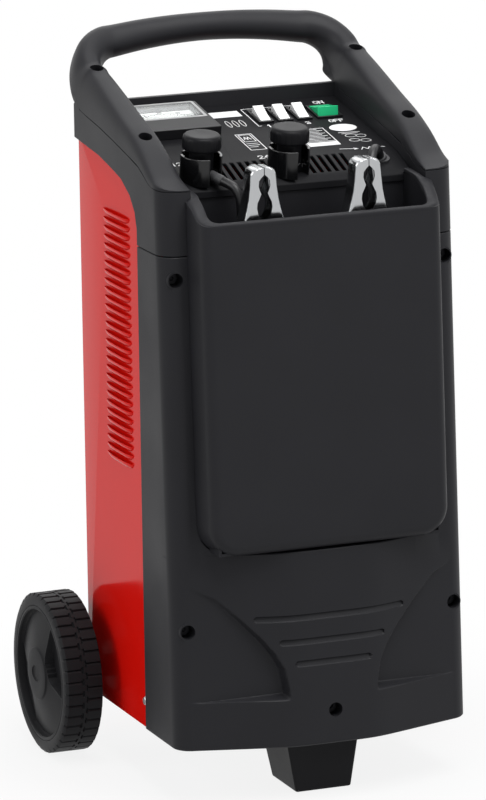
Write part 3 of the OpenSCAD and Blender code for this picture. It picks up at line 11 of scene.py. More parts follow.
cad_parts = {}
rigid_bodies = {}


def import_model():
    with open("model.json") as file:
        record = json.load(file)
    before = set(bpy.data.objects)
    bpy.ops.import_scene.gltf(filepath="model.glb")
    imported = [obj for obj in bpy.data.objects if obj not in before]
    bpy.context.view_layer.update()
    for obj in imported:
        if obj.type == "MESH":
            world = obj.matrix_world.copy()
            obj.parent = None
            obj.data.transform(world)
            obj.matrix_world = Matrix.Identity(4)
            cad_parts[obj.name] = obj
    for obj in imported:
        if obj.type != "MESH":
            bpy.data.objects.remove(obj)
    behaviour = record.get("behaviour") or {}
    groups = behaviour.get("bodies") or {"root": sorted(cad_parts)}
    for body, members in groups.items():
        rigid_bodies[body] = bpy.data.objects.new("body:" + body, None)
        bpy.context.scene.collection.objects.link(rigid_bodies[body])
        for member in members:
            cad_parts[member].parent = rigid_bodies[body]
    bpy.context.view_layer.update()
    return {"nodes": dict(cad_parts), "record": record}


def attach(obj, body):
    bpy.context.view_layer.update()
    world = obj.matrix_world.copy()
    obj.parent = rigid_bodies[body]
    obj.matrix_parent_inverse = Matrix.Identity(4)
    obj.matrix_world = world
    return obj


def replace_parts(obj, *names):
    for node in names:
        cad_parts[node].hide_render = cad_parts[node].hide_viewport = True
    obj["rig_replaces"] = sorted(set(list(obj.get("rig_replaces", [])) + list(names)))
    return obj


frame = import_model()


MM = 0.001
BODY_OF = {
    node: body for body, nodes in frame["record"]["behaviour"]["bodies"].items() for node in nodes
}
SLOT_OF = {row["node"]: row["material_slot"] for row in frame["record"]["subparts"]}

# ---------------------------------------------------------------- sizes, as in the part's source
HALF_W, ARM_IN_X, ARM_X, ARM_W = 134.5, 107.0, 120.75, 27.5
BODY_FLOOR_Z, COLLAR_Z, COLLAR_SEAM_Z, SEAM_Y, COVER_REAR_Y = 50.0, 529.0, 475.5, -51.5, 98.5
LEAN, CORNER_R = math.radians(2.8), 17.0
COLUMN_Y, PROW_Y, PROW_FLAT_W, POCKET_Y = -134.2, -159.0, 76.0, -164.0
POCKET_FLOOR_Z, POCKET_RIM_Z, POCKET_BACK_X, POCKET_FRONT_X = 218.0, 506.0, 112.0, 109.3
RECESS_D, RECESS_DEEP = 12.4, 13.5
FRONT_HOLE, UPPER_HOLE, MIDDLE_HOLE_Z = (122.5, 153.5), (122.5, 455.0), 79.0
GRIP_Z, GRIP_Y, GRIP_D, GRIP_R, HOOP_TILT = 625.7, 132.0, 25.0, 35.0, math.radians(36)
COVER_HALF_W = 131.5
LOUVRES, LOUVRE_PITCH, LOUVRE_Z, LOUVRE_Y0, LOUVRE_Y1 = 29, 7.65, 278.4, -26.0, 36.0
WHEEL_IN_X, WHEEL_W, AXLE_Y, AXLE_Z, TREAD_R = 147.0, 35.5, 85.5, 71.0, 71.0
AXLE_HOLE_R, GLAND_HOLE_R, GLAND_X, GLAND_Z = 7.0, 8.1, 70.0, 110.0
PANEL_TILT, PANEL_Z, BEND_Y, STRIP_Y, STRIP_DROP = math.radians(10.2), 537.0, -45.0, -71.0, 9.2
METER_AT, METER_LEN, METER_RISE, ROCKER_XS = (-63.0, 53.5), 65.0, 9.0, (22.0, 40.0, 58.0)
TERMINAL_XS, TERMINAL_Y, TERMINAL_TILT = (-80.0, 0.0), -62.0, math.radians(8.0)
CLAMP_XS, CLAMP_Y, CLAMP_PIVOT_Z, CLAMP_FOOT_Z = (-47.0, 48.0), -116.0, 492.0, 410.5
CLAMP_HANDLE_X = -17.5
CABLE_D = 8.0


# ---------------------------------------------------------------- geometry helpers
def grid_faces(rows, cols, round_rows=False, round_cols=False):
    """Quads of a grid in which point (i, j) has index i * cols + j."""
    i = np.arange(rows if round_rows else rows - 1)[:, None]
    j = np.arange(cols if round_cols else cols - 1)[None, :]
    i2, j2 = (i + 1) % rows, (j + 1) % cols
    quads = np.broadcast_arrays(i * cols + j, i * cols + j2, i2 * cols + j2, i2 * cols + j)
    return np.stack(quads, axis=-1).reshape(-1, 4).tolist()


def enclosed(points, faces):
    """Signed volume: the sum over the triangles of each face's fan of a . (b x c) / 6."""
    fans = [(f[0], f[k], f[k + 1]) for f in faces for k in range(1, len(f) - 1)]
    tri = points[np.array(fans)]
    return float(np.einsum("ij,ij->i", tri[:, 0], np.cross(tri[:, 1], tri[:, 2])).sum() / 6)


def solid(points, faces):
    """A closed shape with its faces turned outward."""
    if enclosed(points, faces) < 0:
        faces = [f[::-1] for f in faces]
    return np.asarray(points, float), faces


def loft(rings):
    """Closed skin through rings of equal length, each end shut by one face."""
    rings = np.asarray(rings, float)
    n, m = rings.shape[:2]
    faces = grid_faces(n, m, round_cols=True)
    faces += [list(range(m))[::-1], list(range((n - 1) * m, n * m))]
    return solid(rings.reshape(-1, 3), faces)


def looped(rings):
    """Closed skin through rings that run back into the first one."""
    rings = np.asarray(rings, float)
    return solid(rings.reshape(-1, 3), grid_faces(*rings.shape[:2], round_rows=True, round_cols=True))


def joined(*shapes):
    """Several shapes as one."""
    points, faces, start = [], [], 0
    for p, f in shapes:
        points.append(p)
        faces += [[k + start for k in face] for face in f]
        start += len(p)
    return np.concatenate(points), faces


def moved(shape, at=(0, 0, 0), turn=None):
    """A shape turned by a matrix, then shifted."""
    points = shape[0] if turn is None else shape[0] @ np.asarray(turn).T
    return points + np.asarray(at, float), shape[1]


def mirrored(shape):
    """A shape on the other side of x = 0, its faces still outward."""
    return shape[0] * [-1, 1, 1], [f[::-1] for f in shape[1]]


def rotation(axis, angle):
    return np.array(Matrix.Rotation(angle, 3, axis))


def arc(cx, cy, r, a0, a1, n):
    """n steps round (cx, cy) from a0 to a1 degrees."""
    a = np.radians(np.linspace(a0, a1, n + 1))
    return np.stack([cx + r * np.cos(a), cy + r * np.sin(a)], axis=1)


def inset(outline, d):
    """Each corner of a closed anticlockwise outline moved inward by d, along its mitre."""
    p = np.asarray(outline, float)
    e = np.roll(p, -1, axis=0) - p
    e /= np.linalg.norm(e, axis=1, keepdims=True)
    normal = np.stack([-e[:, 1], e[:, 0]], axis=1)
    before = np.roll(normal, 1, axis=0)
    mitre = normal + before
    return p + d * mitre / np.maximum(1 + np.einsum("ij,ij->i", normal, before), 0.4)[:, None]


def at_height(flat, h):
    """A plan outline as points at one height."""
    return np.column_stack([flat, np.full(len(flat), h)])


def prism(outline, levels):
    """An outline raised through (inset, height) levels."""
    return loft([at_height(inset(outline, d), h) for d, h in levels])


def full_turn(n):
    """n equal angles round a full turn."""
    return np.linspace(0, 2 * math.pi, n, endpoint=False)


def round_box(w, d, r, n=6):
    """Rounded rectangle w by d about the origin, anticlockwise."""
    x, y = w / 2 - r, d / 2 - r
    corners = [(x, y, 0), (-x, y, 90), (-x, -y, 180), (x, -y, 270)]
    return np.concatenate([arc(cx, cy, r, a, a + 90, n) for cx, cy, a in corners])


def slab(w, d, z0, z1, r=1.0, edge=0.5):
    """Rounded block w by d from z0 to z1, its ends bevelled by edge."""
    levels = [(edge, z0), (0, z0 + edge), (0, z1 - edge), (edge * 0.3, z1 - edge * 0.3), (edge, z1)]
    return prism(round_box(w, d, r), levels)


def turned(profile, n=64, scale=None):
    """Profile points (radius, height) turned about Z; scale(angles) varies the radius round the turn."""
    profile = np.asarray(profile, float)
    a = full_turn(n)
    k = np.ones(n) if scale is None else scale(a)
    r = profile[:, :1] * k
    return loft(np.stack([r * np.cos(a), r * np.sin(a), np.repeat(profile[:, 1:], n, 1)], axis=-1))


def curve_through(points, steps):
    """Catmull-Rom curve: 0.5 (2b + (c-a)t + (2a-5b+4c-d)t^2 + (3b-a-3c+d)t^3) between b and c."""
    p = np.asarray(points, float)
    a, b, c, d = np.vstack([p[:1], p[:-2]]), p[:-1], p[1:], np.vstack([p[2:], p[-1:]])
    t = (np.arange(steps) / steps)[None, :, None]
    a, b, c, d = (q[:, None, :] for q in (a, b, c, d))
    q = 0.5 * (2 * b + (c - a) * t + (2 * a - 5 * b + 4 * c - d) * t**2 + (3 * b - a - 3 * c + d) * t**3)
    return np.vstack([q.reshape(-1, p.shape[1]), p[-1:]])


def tube(path, radius, sides=16, first=(1, 0, 0), start=None, end=None):
    """Round tube: p + r (s cos u + (t x s) sin u), the side vector s carried along without twist."""
    p = np.asarray(path, float)
    t = np.gradient(p, axis=0)
    if start is not None:
        t[0] = start
    if end is not None:
        t[-1] = end
    t /= np.linalg.norm(t, axis=1, keepdims=True)
    side, sides_at = np.asarray(first, float), []
    for k in range(len(p)):
        side = side - t[k] * (side @ t[k])
        side /= np.linalg.norm(side)
        sides_at.append(side)
    s = np.array(sides_at)
    w = np.cross(t, s)
    u = full_turn(sides)
    r = np.broadcast_to(radius, len(p))[:, None, None]
    return loft(
        p[:, None] + r * (s[:, None] * np.cos(u)[None, :, None] + w[:, None] * np.sin(u)[None, :, None])
    )


def leaning_y(y0, z):
    """World y at height z of a point whose leaning depth is y0: (y0 + z sin L) / cos L."""
    return (y0 + np.asarray(z) * math.sin(LEAN)) / math.cos(LEAN)


def panel_z(y):
    """Height of the tilted panel at depth y."""
    return PANEL_Z + (y - BEND_Y) * math.tan(PANEL_TILT)


def strip_z(y):
    """Height of the panel's steeper lower strip at depth y."""
    return PANEL_Z - STRIP_DROP * (BEND_Y - y) / (BEND_Y - STRIP_Y)


def on_terminal(shape, x):
    """A shape drawn round a terminal's axis, set on the panel's lower strip."""
    return moved(shape, (x, TERMINAL_Y, strip_z(TERMINAL_Y)), rotation("X", TERMINAL_TILT))


# ---------------------------------------------------------------- objects
def new_object(name, shape):
    """A shape in millimetres as a mesh in metres."""
    mesh = bpy.data.meshes.new(name)
    mesh.from_pydata((shape[0] * MM).tolist(), [], shape[1])
    mesh.update()
    made = bpy.data.objects.new(name, mesh)
    bpy.context.scene.collection.objects.link(made)
    return made


def smooth(made, angle):
    made.data.shade_smooth()
    made.data.set_sharp_from_angle(angle=math.radians(angle))


def combine(made, way, shapes):
    """Exact union or difference of an object's mesh with closed shapes."""
    tool = new_object("tool", joined(*shapes))
    step = made.modifiers.new("combine", "BOOLEAN")
    step.operation, step.solver, step.object = way, "MANIFOLD", tool
    bpy.context.view_layer.update()
    result = bpy.data.meshes.new_from_object(made.evaluated_get(bpy.context.evaluated_depsgraph_get()))
    made.modifiers.clear()
    old, made.data = made.data, result
    bpy.data.meshes.remove(old)
    spent = tool.data
    bpy.data.objects.remove(tool)
    bpy.data.meshes.remove(spent)


def cut(made, *shapes):
    combine(made, "DIFFERENCE", shapes)


def fuse(made, *shapes):
    combine(made, "UNION", shapes)


def finish_piece(made, node, paint, replaces):
    """Gives a piece its material, body and the nodes it stands for."""
    made.data.materials.clear()
    made.data.materials.append(paint)
    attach(made, BODY_OF[node])
    if replaces:
        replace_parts(made, *replaces)
    return made


def piece(name, shape, node, paint, replaces=(), angle=35, bevel=0.0, cuts=()):
    """A new piece that rides with the node's body and takes the given paint."""
    made = new_object(name, shape)
    if cuts:
        cut(made, *cuts)
    if bevel:
        soften(made, bevel)
    smooth(made, angle)
    return finish_piece(made, node, paint, replaces)


def soften(made, width, angle=32, segments=2):
    """Rounds the sharp edges."""
    step = made.modifiers.new("round", "BEVEL")
    step.width, step.segments, step.limit_method = width * MM, segments, "ANGLE"
    step.angle_limit, step.use_clamp_overlap, step.harden_normals = math.radians(angle), True, False


def dressed(node, paint, bevel=0.6, angle=35):
    """The node's own solid with merged faces and rounded edges."""
    made = bpy.data.objects.new(node + "_dressed", frame["nodes"][node].data.copy())
    bpy.context.scene.collection.objects.link(made)
    bm = bmesh.new()
    bm.from_mesh(made.data)
    bmesh.ops.remove_doubles(bm, verts=bm.verts, dist=2e-6)
    bmesh.ops.dissolve_limit(bm, angle_limit=math.radians(0.6), verts=bm.verts, edges=bm.edges)
    bm.to_mesh(made.data)
    bm.free()
    if bevel:
        soften(made, bevel)
    smooth(made, angle)
    return finish_piece(made, node, paint, [node])


# ---------------------------------------------------------------- materials
GRAIN_SCALE = 1400.0


def socket(group, name, kind, way, value=None):
    """Adds a socket to a group's interface, with its default value."""
    made = group.interface.new_socket(name=name, in_out=way, socket_type=kind)
    if value is not None:
        made.default_value = value


def grain_group():
    """Fine moulded grain: a bump normal and a slow mask, from a position."""
    g = bpy.data.node_groups.new("moulded_grain", "ShaderNodeTree")
    socket(g, "Position", "NodeSocketVector", "INPUT")
    socket(g, "Scale", "NodeSocketFloat", "INPUT", GRAIN_SCALE)
    socket(g, "Depth", "NodeSocketFloat", "INPUT", 0.15)
    socket(g, "Normal", "NodeSocketVector", "OUTPUT")
    socket(g, "Mask", "NodeSocketFloat", "OUTPUT")
    n, link = g.nodes, g.links.new
    inp, out = n.new("NodeGroupInput"), n.new("NodeGroupOutput")
    fine, slow, bump = n.new("ShaderNodeTexNoise"), n.new("ShaderNodeTexNoise"), n.new("ShaderNodeBump")
    fine.inputs["Detail"].default_value = 3.0
    slow.inputs["Scale"].default_value = 14.0
    slow.inputs["Detail"].default_value = 3.0
    bump.inputs["Distance"].default_value = 0.0002
    link(inp.outputs["Position"], fine.inputs["Vector"])
    link(inp.outputs["Position"], slow.inputs["Vector"])
    link(inp.outputs["Scale"], fine.inputs["Scale"])
    link(inp.outputs["Depth"], bump.inputs["Strength"])
    link(fine.outputs["Fac"], bump.inputs["Height"])
    link(bump.outputs["Normal"], out.inputs["Normal"])
    link(slow.outputs["Fac"], out.inputs["Mask"])
    return g


GRAIN = grain_group()


def spanned(node, from_min, from_max, to_min, to_max):
    """Sets the four limits of a Map Range node."""
    limits = (from_min, from_max, to_min, to_max)
    for name, value in zip(("From Min", "From Max", "To Min", "To Max"), limits):
        node.inputs[name].default_value = value


def paint(name, colour, rough, metal=0.0, spec=0.5, grain=0.0, grain_scale=GRAIN_SCALE, rough_swing=0.0,
          colour_swing=0.0, ior=1.45):
    """Principled surface whose roughness and colour follow the slow mask by small amounts."""
    mat = bpy.data.materials.new(name)
    mat.use_nodes = True
    n, link = mat.node_tree.nodes, mat.node_tree.links.new
    bsdf = n["Principled BSDF"]
    bsdf.inputs["Base Color"].default_value = (*colour, 1)
    bsdf.inputs["Roughness"].default_value = rough
    bsdf.inputs["Metallic"].default_value = metal
    bsdf.inputs["Specular IOR Level"].default_value = spec
    bsdf.inputs["IOR"].default_value = ior
    if not (grain or rough_swing or colour_swing):
        return mat
    place, g = n.new("ShaderNodeTexCoord"), n.new("ShaderNodeGroup")
    g.node_tree = GRAIN
    g.inputs["Scale"].default_value = grain_scale
    g.inputs["Depth"].default_value = grain
    link(place.outputs["Object"], g.inputs["Position"])
    if grain:
        link(g.outputs["Normal"], bsdf.inputs["Normal"])
    if rough_swing:
        span = n.new("ShaderNodeMapRange")
        spanned(span, 0.3, 0.7, rough - rough_swing, rough + rough_swing)
        link(g.outputs["Mask"], span.inputs["Value"])
        link(span.outputs["Result"], bsdf.inputs["Roughness"])
    if colour_swing:
        mix = n.new("ShaderNodeMix")
        mix.data_type = "RGBA"
        mix.inputs["A"].default_value = (*[c * (1 - colour_swing) for c in colour], 1)
        mix.inputs["B"].default_value = (*[c * (1 + colour_swing) for c in colour], 1)
        link(g.outputs["Mask"], mix.inputs["Factor"])
        link(mix.outputs["Result"], bsdf.inputs["Base Color"])
    return mat


P = {
    "shell_black": paint(
        "moulded_black", (0.0135, 0.0135, 0.0155), 0.46, ior=1.24, grain=0.35, rough_swing=0.05,
        colour_swing=0.12
    ),
    "panel_black": paint("panel_black", (0.008, 0.008, 0.009), 0.42, ior=1.13, grain=0.2, rough_swing=0.04),
    "cover_red": paint(
        "cover_red", (0.63, 0.006, 0.003), 0.12, ior=1.155, grain=0.04, grain_scale=350.0, rough_swing=0.03,
        colour_swing=0.03
    ),
    "zinc_steel": paint("zinc_steel", (0.42, 0.43, 0.44), 0.42, metal=1.0, grain=0.1, rough_swing=0.08),
    "axle_steel": paint("axle_steel", (0.5, 0.5, 0.51), 0.25, metal=1.0, grain=0.05, rough_swing=0.08),
    "wheel_black": paint(
        "wheel_black", (0.0085, 0.0085, 0.0095), 0.5, ior=1.2, grain=0.3, grain_scale=1100.0,
        rough_swing=0.08, colour_swing=0.15
    ),
    "foot_black": paint("foot_black", (0.007, 0.007, 0.008), 0.5, ior=1.22, grain=0.3, rough_swing=0.05),
    "meter_black": paint("meter_black", (0.007, 0.007, 0.008), 0.32, spec=0.35, grain=0.1, rough_swing=0.04),
    "switch_black": paint("switch_black", (0.006, 0.006, 0.007), 0.3, spec=0.35, grain=0.1, rough_swing=0.04),
    "dial_white": paint("dial_white", (0.74, 0.74, 0.71), 0.6, grain=0.05, rough_swing=0.03),
    "needle_red": paint("needle_red", (0.45, 0.02, 0.015), 0.5, grain=0.03, rough_swing=0.03),
    "rocker_white": paint("rocker_white", (0.72, 0.72, 0.71), 0.3, grain=0.05, rough_swing=0.03),
    "rocker_green": paint("rocker_green", (0.02, 0.52, 0.21), 0.24, grain=0.04, rough_swing=0.03),
    "knob_black": paint("knob_black", (0.006, 0.006, 0.007), 0.34, ior=1.17, grain=0.12, rough_swing=0.05),
    "stud_brass": paint("stud_brass", (0.55, 0.42, 0.2), 0.3, metal=1.0, grain=0.05, rough_swing=0.05),
    "washer_steel": paint("washer_steel", (0.62, 0.63, 0.64), 0.28, metal=1.0, grain=0.06, rough_swing=0.06),
    "lug_tin": paint("lug_tin", (0.62, 0.62, 0.61), 0.3, metal=1.0, grain=0.06, rough_swing=0.05),
    "sleeve_grey": paint("sleeve_grey", (0.030, 0.030, 0.032), 0.5, grain=0.15, rough_swing=0.05),
    "cable_black": paint(
        "cable_black", (0.006, 0.006, 0.007), 0.36, spec=0.4, grain=0.15, grain_scale=700.0, rough_swing=0.06
    ),
    "tie_black": paint("tie_black", (0.014, 0.014, 0.015), 0.5, grain=0.15, rough_swing=0.05),
    "clamp_steel": paint(
        "clamp_steel", (0.46, 0.47, 0.48), 0.16, metal=1.0, grain=0.05, grain_scale=300.0, rough_swing=0.05
    ),
    "pin_steel": paint("pin_steel", (0.6, 0.6, 0.61), 0.25, metal=1.0, grain=0.05, rough_swing=0.05),
    "core_iron": paint("core_iron", (0.055, 0.06, 0.07), 0.5, metal=0.6, grain=0.2, rough_swing=0.08),
    "winding_copper": paint(
        "winding_copper", (0.36, 0.12, 0.05), 0.36, metal=0.7, grain=0.1, rough_swing=0.06
    ),
    "bar_steel": paint("bar_steel", (0.42, 0.43, 0.44), 0.4, metal=1.0, grain=0.1, rough_swing=0.08),
    "sink_aluminium": paint(
        "sink_aluminium", (0.55, 0.56, 0.57), 0.38, metal=1.0, grain=0.1, rough_swing=0.06
    ),
    "strap_copper": paint("strap_copper", (0.55, 0.26, 0.13), 0.32, metal=1.0, grain=0.08, rough_swing=0.06),
    "cutout_cream": paint("cutout_cream", (0.58, 0.52, 0.34), 0.45, grain=0.08, rough_swing=0.04),
    "loom_black": paint("loom_black", (0.018, 0.018, 0.019), 0.5, grain=0.1, rough_swing=0.05),
    "gland_black": paint("gland_black", (0.014, 0.014, 0.015), 0.42, grain=0.15, rough_swing=0.05),
    "screw_steel": paint("screw_steel", (0.02, 0.02, 0.022), 0.5, metal=1.0, grain=0.08, rough_swing=0.06),
    "guard_black": paint(
        "guard_black", (0.0045, 0.0045, 0.005), 0.14, spec=0.5, grain=0.03, rough_swing=0.03
    ),
    "sleeve_pale": paint("sleeve_pale", (0.30, 0.30, 0.30), 0.45, grain=0.05, rough_swing=0.03),
    "print_white": paint("print_white", (0.66, 0.66, 0.66), 0.55, grain=0.03, rough_swing=0.03),
}


def clear_material():
    """The ammeter's window."""
    mat = paint("meter_clear", (0.9, 0.92, 0.93), 0.04)
    bsdf = mat.node_tree.nodes["Principled BSDF"]
    bsdf.inputs["Transmission Weight"].default_value = 1.0
    bsdf.inputs["IOR"].default_value = 1.15
    return mat


P["meter_clear"] = clear_material()


# ---------------------------------------------------------------- camera, light and floor
AZIMUTH, ELEVATION, ROLL = (math.radians(v) for v in (-21.478, 13.022, -0.823))
TARGET, DISTANCE, FOCAL_PX, FRAME_PX, SENSOR = np.array([-32.88, -33.0, 327.43]), 5124.99, 5960.774, 800, 36.0
# Name, place, point looked at, side in metres and watts
LIGHTS = [
    ("key", (-3.4, 0.3, 2.2), (0, 0, 0.35), 2.0, 44), ("fill", (2.3, -2.5, 2.5), (0, 0, 0.45), 1.8, 36),
    ("top", (0.2, -0.9, 2.9), (0, 0, 0.5), 2.0, 88), ("rear", (1.0, 2.2, 2.9), (0, 0, 0.5), 3.2, 40),
]
WORLD_GREY, FLOOR_GREY, FLOOR_HALF = (0.40, 0.41, 0.43), 0.55, 6
FLOOR_WHITE_NEAR, FLOOR_NEAR_R, FLOOR_FAR_R = 0.86, 0.2, 0.5


def camera():
    """Placed from a target, a distance, an azimuth, an elevation and a small roll."""
    az, el, roll = AZIMUTH, ELEVATION, ROLL
    back = np.array([math.sin(az) * math.cos(el), -math.cos(az) * math.cos(el), math.sin(el)])
    right = np.cross(-back, [0, 0, 1])
    right /= np.linalg.norm(right)
    up = np.cross(right, -back)
    x = math.cos(roll) * right + math.sin(roll) * up
    y = -math.sin(roll) * right + math.cos(roll) * up
    data = bpy.data.cameras.new("camera")
    data.sensor_width, data.lens, data.clip_end = SENSOR, FOCAL_PX / FRAME_PX * SENSOR, 50.0
    made = bpy.data.objects.new("camera", data)
    at = (TARGET + back * DISTANCE) * MM
    rows = [[*row, c] for row, c in zip(np.stack([x, y, back], axis=1), at)]
    made.matrix_world = Matrix(rows + [[0, 0, 0, 1]])
    bpy.context.scene.collection.objects.link(made)
    bpy.context.scene.camera = made


def area_light(name, at, look, size, watts):
    """A square soft light turned toward a point."""
    data = bpy.data.lights.new(name, "AREA")
    data.shape, data.size, data.size_y = "RECTANGLE", size, size
    data.energy = watts
    made = bpy.data.objects.new(name, data)
    made.location = at
    made.rotation_euler = (Vector(look) - Vector(at)).to_track_quat("-Z", "Y").to_euler()
    bpy.context.scene.collection.objects.link(made)


def seen_share(n, link):
    """1 on camera, glossy and transmission rays, so that metal and glass show the same white background, and
    0 on the rest."""
    path, seen = n.new("ShaderNodeLightPath"), n.new("ShaderNodeMath")
    both = n.new("ShaderNodeMath")
    seen.operation = both.operation = "MAXIMUM"
    link(path.outputs["Is Camera Ray"], seen.inputs[0])
    link(path.outputs["Is Glossy Ray"], seen.inputs[1])
    link(seen.outputs["Value"], both.inputs[0])
    link(path.outputs["Is Transmission Ray"], both.inputs[1])
    return both.outputs["Value"]


def floor_material():
    """Pale matt floor that shows mostly as backdrop white: a share of 0.86 under the object and all of it
    from 0.5 m out."""
    mat = paint("floor_white", (FLOOR_GREY,) * 3, 0.8, spec=0.1)
    n, link = mat.node_tree.nodes, mat.node_tree.links.new
    place, reach = n.new("ShaderNodeTexCoord"), n.new("ShaderNodeVectorMath")
    share, both = n.new("ShaderNodeMapRange"), n.new("ShaderNodeMath")
    glow, mix = n.new("ShaderNodeEmission"), n.new("ShaderNodeMixShader")
    reach.operation, both.operation = "LENGTH", "MULTIPLY"
    glow.inputs["Color"].default_value, glow.inputs["Strength"].default_value = (1, 1, 1, 1), 1.0
    spanned(share, FLOOR_NEAR_R, FLOOR_FAR_R, FLOOR_WHITE_NEAR, 1.0)
    link(place.outputs["Object"], reach.inputs[0])
    link(reach.outputs["Value"], share.inputs["Value"])
    link(share.outputs["Result"], both.inputs[0])
    link(seen_share(n, link), both.inputs[1])
    link(both.outputs["Value"], mix.inputs["Fac"])
    link(n["Principled BSDF"].outputs["BSDF"], mix.inputs[1])
    link(glow.outputs["Emission"], mix.inputs[2])
    link(mix.outputs["Shader"], n["Material Output"].inputs["Surface"])
    return mat


def surroundings():
    """World, floor and lights; what the camera and glossy rays see of the world is white."""
    scene = bpy.context.scene
    scene.view_settings.view_transform = "Standard"
    world = bpy.data.worlds.new("studio")
    scene.world = world
    world.use_nodes = True
    n, link = world.node_tree.nodes, world.node_tree.links.new
    back, pick, out = n["Background"], n.new("ShaderNodeMixShader"), n["World Output"]
    back.inputs["Color"].default_value = (*WORLD_GREY, 1)
    back.inputs["Strength"].default_value = 1.0
    seen = n.new("ShaderNodeBackground")
    seen.inputs["Color"].default_value = (1, 1, 1, 1)
    link(seen_share(n, link), pick.inputs["Fac"])
    link(back.outputs["Background"], pick.inputs[1])
    link(seen.outputs["Background"], pick.inputs[2])
    link(pick.outputs["Shader"], out.inputs["Surface"])
    mesh = bpy.data.meshes.new("floor")
    corners = [(x * FLOOR_HALF, y * FLOOR_HALF, 0) for x, y in ((-1, -1), (1, -1), (1, 1), (-1, 1))]
    mesh.from_pydata(corners, [], [(0, 1, 2, 3)])
    floor = bpy.data.objects.new("floor", mesh)
    scene.collection.objects.link(floor)
    floor.data.materials.append(floor_material())
    for light in LIGHTS:
        area_light(*light)


camera()
surroundings()


# ---------------------------------------------------------------- cords
LUG_DIR, BOOT_DROP = math.radians(-62), math.radians(16)
LUG_AXIS = np.array([
    math.cos(LUG_DIR) * math.cos(BOOT_DROP), math.sin(LUG_DIR) * math.cos(BOOT_DROP), -math.sin(BOOT_DROP)
])
LUG_SEAT = np.array([TERMINAL_XS[0], TERMINAL_Y, strip_z(TERMINAL_Y) + 6.9])
BOOT_FROM, BOOT_LEN = 12.0, 14.0
BOOT_END = LUG_SEAT + LUG_AXIS * (BOOT_FROM + BOOT_LEN)
GROMMET_LEAN = np.array([-0.424, -0.566, 0.707])
GROMMET_TOP = np.array([87, -58, strip_z(-58)]) + GROMMET_LEAN * 5.2
HANK_Y, HANK_STEP, HANK_RUN, HANK_R, HANK_TURNS, WAIST = -86.0, 8.6, 128.0, 24.0, 3, 15.0
HANK_BOTTOM = 222.3 + 2.5 + 0.3 + CABLE_D / 2 + HANK_R
HANK_TOP = HANK_BOTTOM + HANK_RUN
HANK_XS = [x + CLAMP_HANDLE_X + HANK_R for x in CLAMP_XS]
TURN_LENGTH = 2 * HANK_RUN + 2 * math.pi * HANK_R
RUN_SHARE = HANK_RUN / TURN_LENGTH
HANK_END = HANK_TURNS + RUN_SHARE + 0.5


def hank_point(x, q):
    """Turns q of a hank: down one run, round a fold of radius R, up the other run and round; runs draw in by
    W (1 - cos 2 pi s) / 2."""
    f = q - np.floor(q)
    y = HANK_Y - HANK_STEP * q
    fold = 0.5 - RUN_SHARE
    down, low, rise = f < RUN_SHARE, f < 0.5, f < 0.5 + RUN_SHARE
    s = np.where(
        down, f / RUN_SHARE,
        np.where(
            low, (f - RUN_SHARE) / fold, np.where(rise, (f - 0.5) / RUN_SHARE, (f - 0.5 - RUN_SHARE) / fold)
        )
    )
    draw = WAIST * (1 - np.cos(2 * math.pi * s)) / 2
    c, sn = HANK_R * np.cos(math.pi * s), HANK_R * np.sin(math.pi * s)
    px = np.where(down, x + HANK_R - draw, np.where(low, x + c, np.where(rise, x - HANK_R + draw, x - c)))
    pz = np.where(
        down, HANK_TOP - HANK_RUN * s,
        np.where(low, HANK_BOTTOM - sn, np.where(rise, HANK_BOTTOM + HANK_RUN * s, HANK_TOP + sn))
    )
    return np.stack([px, y, pz], axis=-1)


def cable_path(start, lean, route, hank_x):
    """The free run to the hank, the hank, and the rise into the clamp's socket."""
    free = curve_through(
        np.vstack([start, start + lean * CABLE_D, route, [[hank_x + HANK_R, HANK_Y, HANK_TOP + CABLE_D]]]), 6
    )
    steps = 24
    turns = hank_point(hank_x, np.arange(int(HANK_END * steps) + 1) / steps)
    last = hank_point(hank_x, np.array([HANK_END - 1e-4]))
    into = [[hank_x - HANK_R, CLAMP_Y, CLAMP_FOOT_Z - drop] for drop in (1.2 * CABLE_D, 0.05)]
    return np.vstack([free, turns, last, last + [0, 0, 4], into])


for name, start, lean, route, k, first in (
    ("positive", BOOT_END, LUG_AXIS,
     [(-62, -96, 526), (-60, -100, 520), (-59, -101, 512), (-58, -100, 500), (-54, -97, 480), (-45, -93, 455),
      (-32, -89, 430), (-22, -87, 412), (-18, -86, 400)], 0, (0, 0, 1)),
    ("negative", GROMMET_TOP, GROMMET_LEAN,
     [(79, -68, 543.5), (75.5, -73, 545), (72, -78, 543.5), (69, -82, 540), (67, -85, 535), (66, -86, 529),
      (66, -86, 515), (66.5, -86, 490), (70, -86, 460), (75, -86, 430), (77.5, -86, 408)], 1, (1, 0, 0)),
):
    path = cable_path(start, lean, route, HANK_XS[k])
    node = "cable_" + name
    shape = tube(path, CABLE_D / 2, 14, first, lean, (0, 0, 1))
    made = piece("charging_cable_" + name, shape, node, P["cable_black"], [node, "hank_" + name], angle=60)


